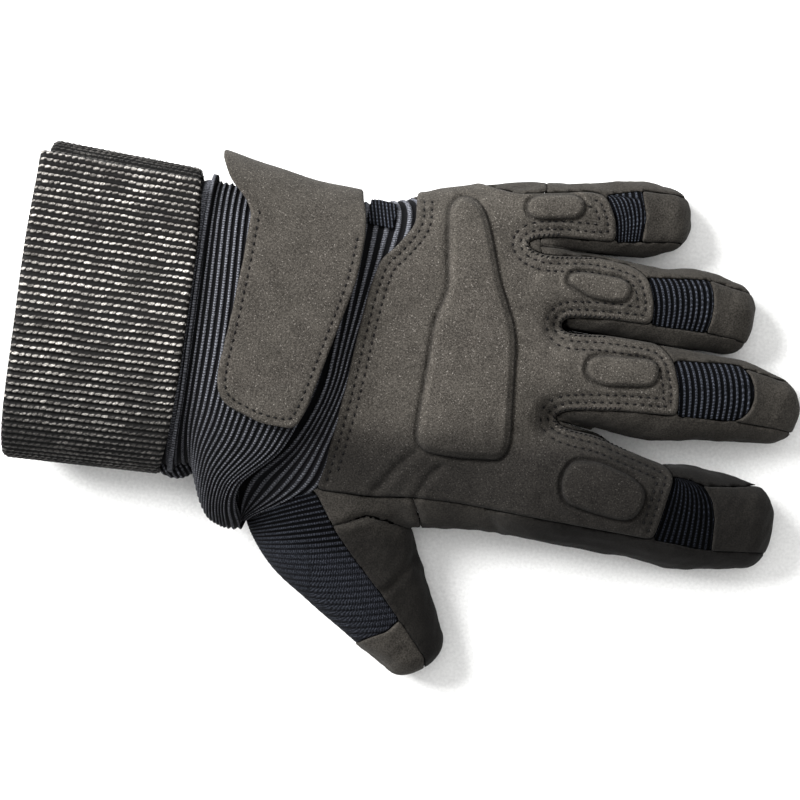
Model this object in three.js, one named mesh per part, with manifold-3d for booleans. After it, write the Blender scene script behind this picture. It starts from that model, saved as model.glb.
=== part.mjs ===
// A left-hand tactical glove lying palm down, with its fingers filled out.
// Millimetres. +X runs from the cuff to the fingertips, +Y to the little finger, +Z up from the table.
// Suede and ribbed knit are one wall thick and the glove is hollow: the cuff is open, and the hollow
// runs through the hand into every finger. Each panel is a solid of its own, cut at its seams.
import * as THREE from "three";
import { mergeVertices } from "three/addons/utils/BufferGeometryUtils.js";
import Module from "manifold-3d";

const wasm = await Module();
wasm.setup();

// Driving sizes
const WALL = 1.6; // suede or knit
const SEAM = 0.4; // open line between two panels
const WEBBING = 2.0; // thickness of the cuff webbing
const FINGER_SIDES = 12;
const HAND_SIDES = 22;
const SLEEVE_SIDES = 20;
const HOLLOW_SIDES = { finger: 8, hand: 14, sleeve: 14 };
const DOME = [40, 75]; // degrees from a finger's last section to its very end
const DOME_SHRINK = 0.8; // how fast a fingertip narrows, and how far its top dips for each millimetre
const DOME_DIP = 0.12;
const HAND_SHRINK = 0.5; // the same for the hand's end, and the least share of its height
const HAND_LEAST = 0.4;
const SECTION_POWER = 2.35; // 2 is an ellipse, more is squarer
const WIDEST_AT = 0.45; // share of a section's height at which it is widest
const LOWEST = { hand: 14, rib: 12, tip: 8.5, thumb: 9, pad: 20 }; // how far down each kind of panel reaches
const FINGER_RIB = { pitch: 1.75, rise: 0.35 };
const WRIST_RIB = { pitch: 2.4, rise: 0.5 };
const SLEEVE_ROWS = 6; // between two of the sleeve's rings: three ribs
const BELOW = -20;
const ABOVE = 80;

// Sections across each finger: centre, half width, highest and lowest point.
// Roll is how much higher a finger's left side is than its right, per millimetre across.
// A section that reaches below the table is cut flat there, as the glove lies on it.
const FINGERS = {
  index: {
    tip: 9.6,
    roll: 0.24,
    rows: [
      { x: 24, y: -17.0, half: 15.0, top: 31.0, bottom: 5 },
      { x: 40, y: -18.6, half: 17.8, top: 37.4, bottom: 7 },
      { x: 54, y: -20.0, half: 18.4, top: 37.0, bottom: 8 },
      { x: 68, y: -22.0, half: 16.6, top: 35.0, bottom: 8 },
      { x: 80, y: -23.8, half: 15.4, top: 32.5, bottom: 6.5 },
      { x: 92, y: -24.4, half: 16.6, top: 29.5, bottom: 3.5 },
      { x: 104, y: -24.6, half: 15.2, top: 25.5, bottom: 0.5 },
      { x: 113, y: -24.8, half: 13.0, top: 22.5, bottom: -1.5 },
    ],
  },
  middle: {
    tip: 9.8,
    roll: 0.04,
    rows: [
      { x: 26, y: 15.5, half: 12.0, top: 33.0, bottom: 5 },
      { x: 44, y: 15.6, half: 13.8, top: 37.0, bottom: 7 },
      { x: 62, y: 14.6, half: 14.8, top: 35.5, bottom: 8 },
      { x: 80, y: 13.6, half: 14.9, top: 32.5, bottom: 7 },
      { x: 95, y: 14.3, half: 13.5, top: 28.5, bottom: 4 },
      { x: 106, y: 14.3, half: 12.8, top: 24.5, bottom: 0.5 },
      { x: 116, y: 13.3, half: 11.0, top: 20.5, bottom: -1.5 },
    ],
  },
  ring: {
    tip: 9.6,
    roll: 0,
    rows: [
      { x: 22, y: 42.0, half: 10.5, top: 29.0, bottom: 3 },
      { x: 40, y: 41.8, half: 12.2, top: 33.6, bottom: 4 },
      { x: 58, y: 41.0, half: 12.6, top: 32.0, bottom: 5 },
      { x: 75, y: 40.3, half: 12.3, top: 28.5, bottom: 4 },
      { x: 88, y: 41.2, half: 12.9, top: 24.0, bottom: 1 },
      { x: 98.5, y: 40.4, half: 11.4, top: 20.5, bottom: -1.5 },
    ],
  },
  little: {
    tip: 8.2,
    roll: -0.08,
    rows: [
      { x: 14, y: 58.5, half: 8.0, top: 23.0, bottom: 3 },
      { x: 30, y: 62.0, half: 10.8, top: 28.8, bottom: 2 },
      { x: 45, y: 63.8, half: 11.2, top: 28.0, bottom: 2.5 },
      { x: 58, y: 65.6, half: 11.8, top: 25.0, bottom: 1.5 },
      { x: 68, y: 67.6, half: 12.2, top: 21.8, bottom: 0 },
      { x: 75.5, y: 68.6, half: 10.6, top: 19.5, bottom: -1.5 },
    ],
  },
  thumb: {
    tip: 7.2,
    roll: -0.12,
    rows: [
      { x: -25, y: -20.0, half: 24.0, top: 31.0, bottom: -2 },
      { x: -19.5, y: -32.0, half: 27.0, top: 32.0, bottom: -2 },
      { x: -13.6, y: -43.0, half: 25.0, top: 31.0, bottom: -2 },
      { x: -6.0, y: -53.4, half: 20.2, top: 28.5, bottom: -2 },
      { x: 2.6, y: -63.4, half: 16.2, top: 26.0, bottom: -2 },
      { x: 9.6, y: -71.2, half: 13.4, top: 23.0, bottom: -2 },
      { x: 14.9, y: -77.4, half: 10.4, top: 20.5, bottom: -1.5 },
    ],
  },
};

// Sections across the hand: its two sides, and its height on the thumb's and the little finger's side
const HAND = [
  { x: -26, low: -34.0, high: 58.0, topLow: 36.5, topHigh: 38.0 },
  { x: -14, low: -36.0, high: 61.0, topLow: 38.0, topHigh: 37.5 },
  { x: 0, low: -38.5, high: 66.0, topLow: 39.5, topHigh: 36.0 },
  { x: 14, low: -38.6, high: 70.3, topLow: 41.0, topHigh: 34.0 },
  { x: 28, low: -37.2, high: 72.6, topLow: 41.0, topHigh: 32.0 },
  { x: 38, low: -36.6, high: 74.0, topLow: 40.5, topHigh: 30.5 },
];
const HAND_END = 7.5; // how far the hand rounds off past its last section, between the fingers

// The knit sleeve, ring by ring from its hem inside the band to the back panel's edge. A ring isn't flat:
// it has its own place along X at the little finger's side, above that finger's bones, in the middle of the
// back, by the panel's corner, at the thumb's side and under the palm. The fold is where it bags out.
const SLEEVE = [
  { side: -113, upper: -113, middle: -113, corner: -113, thumb: -113, palm: -113,
    low: -30.0, high: 60.8, topLow: 44.6, topHigh: 44.6, floor: 2.7 },
  { side: -70, upper: -70, middle: -70, corner: -70, thumb: -70, palm: -70,
    low: -28.6, high: 58.6, topLow: 43.6, topHigh: 43.2, floor: 2.7 },
  { side: -62, upper: -62, middle: -62, corner: -62.5, thumb: -63, palm: -61,
    low: -29.5, high: 59.5, topLow: 44.0, topHigh: 43.5, floor: 1.5 },
  { side: -52, upper: -51, middle: -51, corner: -55, thumb: -58.5, palm: -52,
    low: -38.0, high: 60.5, topLow: 44.5, topHigh: 43.0, floor: -1 },
  { side: -41, upper: -40, middle: -39, corner: -48, thumb: -55.5, palm: -43,
    low: -45.0, high: 60.3, topLow: 44.5, topHigh: 42.0, floor: -2 },
  { side: -30, upper: -29, middle: -28, corner: -41, thumb: -52, palm: -35,
    low: -47.5, high: 60.0, topLow: 43.0, topHigh: 41.0, floor: -2 },
  { side: -21, upper: -21, middle: -21, corner: -36, thumb: -49, palm: -29,
    low: -46.5, high: 60.0, topLow: 37.5, topHigh: 39.0, floor: -2 },
  { side: -13, upper: -13, middle: -17.5, corner: -29, thumb: -46.5, palm: -26,
    low: -45.0, high: 61.0, topLow: 34.0, topHigh: 37.5, floor: -2 },
  { side: -4.5, upper: -1.5, middle: -11.0, corner: -19.0, thumb: -43.5, palm: -23,
    low: -44.5, high: 63.8, topLow: 37.0, topHigh: 36.6, floor: -2 },
];
// Where those six places lie around a ring, in degrees from the little finger's side over the back
const SLEEVE_PLACES = [
  { at: 0, column: "side" },
  { at: 40, column: "upper" },
  { at: 100, column: "middle" },
  { at: 135, column: "corner" },
  { at: 180, column: "thumb" },
  { at: 270, column: "palm" },
  { at: 360, column: "side" },
];

// The closure tab lies round the little finger's side of the sleeve and over its back
const TAB = [
  { x: -76, low: -48.5, high: 70.0, topLow: 48.0, topHigh: 48.5 },
  { x: -50, low: -50.5, high: 66.5, topLow: 48.0, topHigh: 46.5 },
  { x: -30, low: -51.5, high: 63.2, topLow: 47.5, topHigh: 44.5 },
  { x: -10, low: -51.5, high: 61.8, topLow: 46.5, topHigh: 42.5 },
];
const TAB_THICK = 2.2;
const TAB_LOWEST = 10; // the tab's sewn end, round the side
const TAB_OUTLINE = [
  [-66.5, 80], [-66.0, 66], [-60.5, 59], [-54.5, 52.5], [-53.0, 47.5], [-53.4, 36], [-54.6, 18],
  [-56.3, 1.5], [-55.6, -5], [-52.5, -9], [-41, -13], [-30.5, -13.3], [-27.6, -6.5], [-23.2, 12.3],
  [-18.3, 33.5], [-17.3, 48], [-18.3, 56], [-20.5, 62], [-20.5, 80],
];

// The webbing band is one strip round the sleeve's end. It starts over the back, by the little finger's
// side, goes round by the thumb's side and the palm, and then under itself: its two edges, seen end on.
const BAND = [
  { x: -120, low: -35.0, high: 68.3, top: 50.0 },
  { x: -68.5, low: -33.6, high: 65.8, top: 48.8 },
];
const BAND_TURN = { start: 37, inward: 180, under: 360, end: 530, step: 11 }; // degrees
const BAND_GAP = 0.4; // between the two layers

// The back panel's edges seen from above, and the slits between its flaps
const WRIST_EDGE = [
  [-3.9, 75], [-3.6, 62], [-2.8, 55], [-7.8, 47], [-12.0, 42.5], [-14.2, 33], [-15.8, 19], [-17.5, -1],
  [-19.2, -13], [-22.1, -31.2],
];
const THUMB_SIDE_SEAM = [[-4, -31], [7, -29.5], [22, -29.2], [42, -30.2]];
const LITTLE_SIDE_SEAM = [[38, 70.8], [28, 68.9], [18, 70.6], [10, 75]];
const SLITS = {
  indexMiddle: [[56.5, -2.6], [49.5, 1.0], [56.5, 4.6]],
  middleRing: [[52.5, 28.0], [46.3, 30.2], [52.5, 32.8]],
  ringLittle: [[43.5, 51.5], [33.2, 54.4], [42.0, 57.0]],
};
// The strip along the back of each finger: suede flap, ribbed knit, suede tip. Upper is +Y.
const STRIPS = {
  index: {
    flapEnd: [[84.5, -8.4], [87.9, -11.6], [86.8, -17.5], [84.2, -32.3]],
    ribEnd: [[94, -12.3], [100.4, -18.0], [103.2, -33.4]],
    tip: [[113.3, -11.5], [130, -9], [130, -33], [119.5, -31.5]],
  },
  middle: {
    flapEnd: [[77.5, 28.8], [82.6, 24.0], [85.4, 15.5], [86.2, 6.9]],
    ribEnd: [[104.3, 25.0], [109.4, 19.0], [105.6, 8.8]],
    tip: [[118, 22.8], [132, 22], [132, 6], [121.4, 7.2]],
  },
  ring: {
    flapEnd: [[66.1, 51.6], [71.4, 48.6], [74.2, 41.0], [74.6, 34.0]],
    ribEnd: [[91.3, 50.4], [93.4, 44.5], [91.6, 34.1]],
    tip: [[100.5, 49.3], [115, 48], [115, 31], [102, 33.6]],
  },
  little: {
    flapEnd: [[50.0, 73.0], [55.0, 72.6], [59.0, 65.5], [60.1, 58.2]],
    ribEnd: [[66.3, 75.8], [68.6, 67.5], [68.2, 59.6]],
    tip: [[76.5, 76.4], [92, 75], [92, 61.5], [80.4, 61.5]],
  },
};
// The thumb's back: ribbed knit as far as its tip, and a suede tip. Its seam runs down the middle of the view.
const THUMB_SEAM = [[-21.8, -32.2], [-14.2, -43.1], [-6.7, -51.5], [2.2, -60.4], [9.4, -68.3]];
const THUMB_TIP_SEAM = [[9.4, -68.3], [14.6, -74.2], [18.8, -79.2], [21, -92]];
const THUMB_TIP_START = [[9.4, -68.3], [5.8, -72.6], [0.6, -75.2], [-6, -80]];
const THUMB_OUTSIDE = [[-25, -80], [-60, -50], [-44, -36]];

// Padding under the suede: a guard over the hand, and a pad on each finger
const GUARD_OUTLINE = [
  [6.8, 62], [9.5, 66], [13.5, 66], [17.2, 63.5], [19.8, 58.5], [25.7, 40.5], [31.6, 28], [33, 22],
  [34.2, 8], [35.6, -9.5], [33.4, -14.2], [20.7, -15.3], [10, -15], [6.6, -12], [6.3, -7], [7.3, 26],
  [10, 36.5], [7.8, 52],
];
const GUARD_LAYERS = [{ inset: 0, rise: 2.0 }, { inset: 1.6, rise: 3.6 }];
const PADS = {
  index: { x: 66, y: -18.8, long: 26.5, wide: 14.4, turn: -10 },
  middle: { x: 67, y: 18.2, long: 23.0, wide: 9.2, turn: 4 },
  ring: { x: 56.5, y: 43.4, long: 20.8, wide: 7.6, turn: 0 },
  little: { x: 39.9, y: 66.3, long: 18.6, wide: 7.6, turn: 10 },
};
const PAD_LAYERS = [{ inset: 0, rise: 1.3 }, { inset: 1.1, rise: 2.3 }];
const PAD_CORNER = 3.6;
const SLIVER = 0.03; // edges and corners nearer than this become one
const ON_TOP = 0.35; // what lies on another piece keeps this clear of it
const PATCH = { outline: [[-18.2, 53.2], [-9.6, 52.2], [-9.0, 60.5], [-17.6, 62]], rise: 0.9, lowest: 22 };

const SUEDE = { color: 0x3a3733, roughness: 0.95 };
const KNIT = { color: 0x161a22, roughness: 0.9 };
const STRAP = { color: 0x2c2825, roughness: 0.7 };

// Rows of a table with smooth rows put between them
function smoothRows(rows, perSpan) {
  const columns = Object.keys(rows[0]);
  const made = [];
  for (let i = 0; i < rows.length - 1; i++) {
    const [a, b, c, d] = [rows[Math.max(i - 1, 0)], rows[i], rows[i + 1], rows[Math.min(i + 2, rows.length - 1)]];
    for (let step = 0; step < perSpan; step++) {
      const t = step / perSpan;
      const row = {};
      for (const key of columns) {
        const slopeIn = (c[key] - a[key]) / 2;
        const slopeOut = (d[key] - b[key]) / 2;
        row[key] = b[key] + slopeIn * t + (3 * (c[key] - b[key]) - 2 * slopeIn - slopeOut) * t * t
          + (2 * (b[key] - c[key]) + slopeIn + slopeOut) * t * t * t;
      }
      made.push(row);
    }
  }
  return [...made, rows[rows.length - 1]];
}

// A point of a rounded section, across it and up, for an angle from one side over the top
function rounded(angle, half, top, bottom) {
  const widest = bottom + WIDEST_AT * (top - bottom);
  const [c, s] = [Math.cos(angle), Math.sin(angle)];
  const across = Math.sign(c) * Math.abs(c) ** (2 / SECTION_POWER) * half;
  const up = Math.abs(s) ** (2 / SECTION_POWER) * (s >= 0 ? top - widest : bottom - widest);
  return [across, widest + up];
}

// The closed solid between rings of points, with flat ends
function loftSolid(rings) {
  const sides = rings[0].length;
  const points = rings.flat();
  const faces = [];
  for (let r = 0; r < rings.length - 1; r++) {
    for (let k = 0; k < sides; k++) {
      const [a, b] = [r * sides + k, r * sides + ((k + 1) % sides)];
      faces.push([a, b, a + sides], [b, b + sides, a + sides]);
    }
  }
  for (const r of [0, rings.length - 1]) {
    const centre = points.length;
    points.push(rings[r].reduce((sum, p) => sum.add(p), new THREE.Vector3()).divideScalar(sides));
    for (let k = 0; k < sides; k++) {
      const [a, b] = [r * sides + k, r * sides + ((k + 1) % sides)];
      faces.push(r === 0 ? [b, a, centre] : [a, b, centre]);
    }
  }
  const solid = new wasm.Manifold(new wasm.Mesh({
    numProp: 3,
    vertProperties: new Float32Array(points.flatMap((p) => [p.x, p.y, p.z])),
    triVerts: new Uint32Array(faces.flat()),
  }));
  return solid;
}

// The solid of any closed three.js geometry
function solidOf(geometry) {
  geometry.deleteAttribute("normal");
  geometry.deleteAttribute("uv");
  const merged = mergeVertices(geometry, 1e-4);
  return new wasm.Manifold(new wasm.Mesh({
    numProp: 3,
    vertProperties: merged.attributes.position.array,
    triVerts: new Uint32Array(merged.index.array),
  }));
}

// An upright prism over an outline
function prism(outline, low = BELOW, high = ABOVE) {
  const shape = new THREE.Shape(outline.map(([x, y]) => new THREE.Vector2(x, y)));
  const geometry = new THREE.ExtrudeGeometry(shape, { depth: high - low, bevelEnabled: false });
  return solidOf(geometry.translate(0, 0, low));
}

// An outline moved in by a distance
function inset(outline, distance) {
  const points = outline.map(([x, y]) => new THREE.Vector2(x, y));
  const turn = THREE.ShapeUtils.isClockWise(points) ? -1 : 1;
  const count = points.length;
  return points.map((here, i) => {
    const before = here.clone().sub(points[(i + count - 1) % count]).normalize();
    const after = points[(i + 1) % count].clone().sub(here).normalize();
    const inward = new THREE.Vector2(-(before.y + after.y), before.x + after.x).normalize();
    const miter = Math.max(inward.x * -after.y + inward.y * after.x, 0.35);
    const moved = here.clone().addScaledVector(inward, (turn * distance) / miter);
    return [moved.x, moved.y];
  });
}

// Everything between two heights
function slab(low, high) {
  return solidOf(new THREE.BoxGeometry(400, 400, high - low).translate(0, 0, (low + high) / 2));
}

// A finger's form: its sections stand square to its centre line, and it ends in a dome.
// Grow swells it on all sides, and rib gives it ridges across.
function fingerForm({ rows, tip, roll }, { grow = 0, sides = FINGER_SIDES, perSpan = 1, rib = null } = {}) {
  const sections = smoothRows(rows, perSpan);
  const last = sections[sections.length - 1];
  const before = sections[sections.length - 2];
  const end = new THREE.Vector2(last.x - before.x, last.y - before.y).normalize();
  for (const turn of DOME.map(THREE.MathUtils.degToRad)) {
    const middle = (last.top + last.bottom) / 2;
    const share = Math.cos(turn) ** DOME_SHRINK;
    const ahead = Math.sin(turn) * (tip + grow);
    sections.push({
      x: last.x + end.x * ahead,
      y: last.y + end.y * ahead,
      half: last.half * share,
      top: middle + (last.top - middle) * share - DOME_DIP * ahead,
      bottom: middle + (last.bottom - middle) * share,
      dome: share,
    });
  }
  const rings = sections.map((section, i) => {
    const a = sections[Math.max(i - 1, 0)];
    const b = sections[Math.min(i + 1, sections.length - 1)];
    const along = new THREE.Vector2(b.x - a.x, b.y - a.y).normalize();
    const swell = grow * (section.dome ?? 1) + (rib ? rib(i) : 0);
    return Array.from({ length: sides }, (_, k) => {
      const [across, up] = rounded(
        (2 * Math.PI * k) / sides, section.half + swell, section.top + swell, section.bottom - swell);
      const lean = roll * THREE.MathUtils.smoothstep(i, perSpan, 3 * perSpan) * across;
      return new THREE.Vector3(section.x - along.y * across, section.y + along.x * across, up + lean);
    });
  });
  return loftSolid(rings);
}

// A form with sections across X, given by two sides and two heights, with an optional round end
function bodyForm(rows, { grow = 0, sides = HAND_SIDES, perSpan = 1, roundEnd = 0, bottom = -2 } = {}) {
  const sections = smoothRows(rows, perSpan);
  const last = sections[sections.length - 1];
  if (roundEnd) {
    for (const turn of DOME.map(THREE.MathUtils.degToRad)) {
      const share = Math.cos(turn) ** HAND_SHRINK;
      const [middle, half] = [(last.low + last.high) / 2, (last.high - last.low) / 2 - roundEnd * (1 - share)];
      sections.push({
        x: last.x + Math.sin(turn) * roundEnd,
        low: middle - half,
        high: middle + half,
        topLow: last.topLow * THREE.MathUtils.lerp(HAND_LEAST, 1, share),
        topHigh: last.topHigh * THREE.MathUtils.lerp(HAND_LEAST, 1, share),
      });
    }
  }
  const rings = sections.map((section) => {
    const [middle, half] = [(section.low + section.high) / 2, (section.high - section.low) / 2];
    return Array.from({ length: sides }, (_, k) => {
      const angle = (2 * Math.PI * k) / sides;
      const side = (1 + Math.cos(angle)) / 2;
      const top = section.topLow + (section.topHigh - section.topLow) * side;
      const [across, up] = rounded(angle, half + grow, top + grow, bottom - grow);
      return new THREE.Vector3(section.x, middle + across, up);
    });
  });
  return loftSolid(rings);
}

// Where a sleeve ring passes at an angle round it
function alongAt(ring, degrees) {
  const next = SLEEVE_PLACES.findIndex((place) => place.at >= degrees && place.at > 0);
  const [a, b] = [SLEEVE_PLACES[next - 1], SLEEVE_PLACES[next]];
  return THREE.MathUtils.lerp(ring[a.column], ring[b.column], (degrees - a.at) / (b.at - a.at));
}

// The sleeve's form. Overrun carries it on past its ends, and ribbed gives it ridges round it.
function sleeveForm({ grow = 0, overrun = 0, ribbed = false, sides = SLEEVE_SIDES, rows = SLEEVE_ROWS } = {}) {
  const smooth = smoothRows(SLEEVE, rows);
  const sections = smooth.filter((row) => row.side > SLEEVE[1].side - 0.1 || row === smooth[0]);
  if (overrun) {
    const moved = (section, shift) => {
      const copy = { ...section };
      for (const { column } of SLEEVE_PLACES.slice(0, -1)) copy[column] += shift;
      return copy;
    };
    sections.unshift(moved(sections[0], -overrun));
    sections.push(moved(sections[sections.length - 1], overrun));
  }
  const rings = sections.map((section, i) => {
    const [middle, half] = [(section.low + section.high) / 2, (section.high - section.low) / 2];
    const swell = grow - (ribbed && i % 2 ? WRIST_RIB.rise : 0);
    return Array.from({ length: sides }, (_, k) => {
      const angle = (2 * Math.PI * k) / sides;
      const side = (1 + Math.cos(angle)) / 2;
      const top = section.topLow + (section.topHigh - section.topLow) * side;
      const [across, up] = rounded(angle, half + swell, top + swell, section.floor - swell);
      return new THREE.Vector3(alongAt(section, THREE.MathUtils.radToDeg(angle)), middle + across, up);
    });
  });
  return loftSolid(rings);
}

// The band's strip, followed from its outer end to its inner end
function bandStrip() {
  const rings = [];
  for (let degrees = BAND_TURN.start; degrees <= BAND_TURN.end; degrees += BAND_TURN.step) {
    const angle = THREE.MathUtils.degToRad(degrees);
    const layer = THREE.MathUtils.smoothstep(degrees, BAND_TURN.inward, BAND_TURN.under) * (WEBBING + BAND_GAP);
    const corner = ({ x, low, high, top }, depth) => {
      const [across, up] = rounded(angle, (high - low) / 2 - depth, top - depth, depth - layer - 2);
      return new THREE.Vector3(x, (low + high) / 2 + across, Math.max(up, depth - layer));
    };
    const [left, right] = BAND;
    rings.push([
      corner(right, layer), corner(left, layer), corner(left, layer + WEBBING), corner(right, layer + WEBBING),
    ]);
  }
  return loftSolid(rings);
}

const joined = (solids) => solids.reduce((sum, solid) => sum.add(solid));
const overTable = slab(0, ABOVE);
const insideTable = slab(WALL, ABOVE);

// The hand with its fingers, swollen by a distance
function handForm(grow) {
  const body = bodyForm(HAND, { grow, roundEnd: HAND_END });
  const fingers = Object.values(FINGERS).map((finger) => fingerForm(finger, { grow }));
  return joined([body, ...fingers]);
}

const longHand = [{ ...HAND[0], x: HAND[0].x - 12 }, ...HAND];
const hollowHand = bodyForm(longHand, { grow: -WALL, roundEnd: HAND_END, sides: HOLLOW_SIDES.hand });
const hollowFingers = Object.values(FINGERS).map(
  (finger) => fingerForm(finger, { grow: -WALL, sides: HOLLOW_SIDES.finger }));
const handHollow = joined([hollowHand, ...hollowFingers]).intersect(insideTable);
const handOuter = handForm(0).intersect(overTable);
const sleeveEnvelope = sleeveForm({ grow: SEAM, overrun: SEAM, rows: 2 });
const handWall = handOuter.subtract(handHollow);

// Seam lines cut the wall into panels
const thumbKnitOutline = [...THUMB_SEAM, ...THUMB_TIP_START.slice(1), ...THUMB_OUTSIDE];
const thumbTipOutline = [...THUMB_TIP_SEAM, [-6, -95], ...THUMB_TIP_START.slice(1).reverse()];
const fromBelow = (edge) => [...edge].reverse();
const backPanel = [
  ...WRIST_EDGE, ...THUMB_SIDE_SEAM,
  ...fromBelow(STRIPS.index.flapEnd), ...SLITS.indexMiddle,
  ...fromBelow(STRIPS.middle.flapEnd), ...SLITS.middleRing,
  ...fromBelow(STRIPS.ring.flapEnd), ...SLITS.ringLittle,
  ...fromBelow(STRIPS.little.flapEnd), ...LITTLE_SIDE_SEAM,
];
function ribOutline({ flapEnd, ribEnd }) {
  return [...flapEnd.slice(1), ...fromBelow(ribEnd)];
}
function tipOutline({ ribEnd, tip }) {
  return [...ribEnd, ...fromBelow(tip)];
}
const strips = Object.entries(STRIPS);
const backOutlines = joined([
  prism(backPanel, LOWEST.hand),
  ...strips.map(([, strip]) => prism(ribOutline(strip), LOWEST.rib)),
  ...strips.map(([, strip]) => prism(tipOutline(strip), LOWEST.tip)),
  prism(thumbKnitOutline, LOWEST.thumb),
  prism(thumbTipOutline, LOWEST.thumb),
]);
const undersideWall = handWall.subtract(backOutlines).subtract(sleeveEnvelope);

// A panel's outline moved in by the seam
const narrowed = (outline, lowest) => prism(inset(outline, SEAM), lowest + SEAM);

// Each finger's underside and sides are one piece, cut from the palm across its root
const ROOTS = {
  index: [[50, 0.2], [48, -60], [130, -60], [130, -6], [80, -4.5]],
  middle: [[50, 0.8], [80, -3.9], [130, -5.4], [130, 27.5], [94, 27.7], [49, 29.2]],
  ring: [[49, 29.8], [94, 28.3], [130, 28.1], [130, 56], [68, 54.6], [36.5, 53.4]],
  little: [[36.5, 54.0], [68, 55.2], [130, 56.6], [130, 90], [36.5, 90]],
  thumb: [[-70, -39.0], [12, -39.0], [40, -46], [40, -100], [-70, -100]],
};
const fingerPrisms = Object.values(ROOTS).map((outline) => prism(outline));
const knitSide = prism([[-60, 75], ...WRIST_EDGE, [-60, -31.2]], LOWEST.hand);
const palmWall = undersideWall.subtract(joined([...fingerPrisms, knitSide]));

// The group that holds every piece
const glove = new THREE.Group();

function addPiece(name, solid, { color, roughness }) {
  const mesh = solid.getMesh();
  const geometry = new THREE.BufferGeometry();
  geometry.setAttribute("position", new THREE.BufferAttribute(mesh.vertProperties, 3));
  geometry.setIndex(new THREE.BufferAttribute(mesh.triVerts, 1));
  const piece = new THREE.Mesh(geometry, new THREE.MeshStandardMaterial({ color, roughness, metalness: 0 }));
  piece.name = name;
  glove.add(piece);
}

// The largest of the bodies a cut leaves, without its crumbs and the slivers along its edges
function largest(solid) {
  return solid.simplify(SLIVER).decompose().sort((a, b) => b.volume() - a.volume())[0];
}

addPiece("palm_panel", largest(palmWall), SUEDE);
addPiece("back_panel", largest(handWall.intersect(narrowed(backPanel, LOWEST.hand))), SUEDE);
for (const [name, outline] of Object.entries(ROOTS)) {
  addPiece(name + "_underside", largest(undersideWall.intersect(prism(inset(outline, SEAM)))), SUEDE);
}

// Ribbed knit over each knuckle, and the suede tips
function ribbedFinger(finger, pitch) {
  const length = finger.rows[finger.rows.length - 1].x - finger.rows[0].x;
  const perSpan = Math.round((2 * length) / pitch / (finger.rows.length - 1));
  const rib = (i) => (i % 2 ? 0 : -FINGER_RIB.rise);
  return fingerForm(finger, { perSpan, rib });
}
strips.forEach(([name, strip], i) => {
  const ribbed = ribbedFinger(FINGERS[name], FINGER_RIB.pitch).subtract(hollowFingers[i]);
  addPiece(name + "_knuckle_rib", largest(ribbed.intersect(narrowed(ribOutline(strip), LOWEST.rib))), KNIT);
  addPiece(name + "_tip", largest(handWall.intersect(narrowed(tipOutline(strip), LOWEST.tip))), SUEDE);
});
const ribbedThumb = ribbedFinger(FINGERS.thumb, FINGER_RIB.pitch).intersect(overTable)
  .subtract(handHollow).subtract(sleeveEnvelope);
addPiece("thumb_back_knit", largest(ribbedThumb.intersect(narrowed(thumbKnitOutline, LOWEST.thumb))), KNIT);
addPiece("thumb_tip", largest(handWall.intersect(narrowed(thumbTipOutline, LOWEST.thumb))), SUEDE);

// The sleeve, open at both ends
const sleeveHollow = sleeveForm({ grow: -WALL, overrun: 1, sides: HOLLOW_SIDES.sleeve, rows: 2 })
  .intersect(insideTable);
addPiece("wrist_sleeve", largest(
  sleeveForm({ ribbed: true }).intersect(overTable).subtract(sleeveHollow)
    .subtract(prism(backPanel, LOWEST.hand - SEAM))), KNIT);

// Padding: layers of a stepped pad over the hand's surface
const raised = {};
function handRaised(rise) {
  raised[rise] ??= handForm(rise);
  return raised[rise];
}
function padOn(outline, layers) {
  const solids = layers.map((layer) => {
    const cutter = prism(inset(outline, layer.inset), LOWEST.pad);
    return handRaised(ON_TOP + layer.rise).intersect(cutter);
  });
  return joined(solids).subtract(handRaised(ON_TOP));
}
function padOutline({ x, y, long, wide, turn }) {
  const corners = [[1, 1], [-1, 1], [-1, -1], [1, -1]];
  const angle = THREE.MathUtils.degToRad(turn);
  return corners.flatMap(([sx, sy], quarter) => [0, 30, 60, 90].map((step) => {
    const bend = THREE.MathUtils.degToRad(90 * quarter + step);
    const px = sx * (long / 2 - PAD_CORNER) + PAD_CORNER * Math.cos(bend);
    const py = sy * (wide / 2 - PAD_CORNER) + PAD_CORNER * Math.sin(bend);
    return [x + px * Math.cos(angle) - py * Math.sin(angle), y + px * Math.sin(angle) + py * Math.cos(angle)];
  }));
}
addPiece("hand_guard", largest(padOn(GUARD_OUTLINE, GUARD_LAYERS)), SUEDE);
for (const [name, pad] of Object.entries(PADS)) {
  addPiece(name + "_pad", largest(padOn(padOutline(pad), PAD_LAYERS)), SUEDE);
}

// Closure tab, gathered patch, and the webbing band with its outer turn
const tab = bodyForm(TAB, { grow: TAB_THICK }).subtract(bodyForm(TAB))
  .intersect(prism(TAB_OUTLINE, TAB_LOWEST));
addPiece("closure_tab", largest(tab), SUEDE);

const patchPrism = prism(PATCH.outline, PATCH.lowest);
const patch = sleeveForm({ grow: ON_TOP + PATCH.rise, overrun: 1 })
  .subtract(sleeveForm({ grow: ON_TOP, overrun: 2 }))
  .intersect(patchPrism);
addPiece("wrist_gather", largest(patch), KNIT);

addPiece("cuff_band", bandStrip(), STRAP);

// The origin is the middle of the glove's footprint, on the table
const extent = new THREE.Box3().setFromObject(glove);
const middle = extent.getCenter(new THREE.Vector3());
glove.position.set(-middle.x, -middle.y, -extent.min.z);

export default glove;
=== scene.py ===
import math

import bpy
import numpy as np
import openvdb
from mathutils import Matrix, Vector
from mathutils.bvhtree import BVHTree


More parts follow.
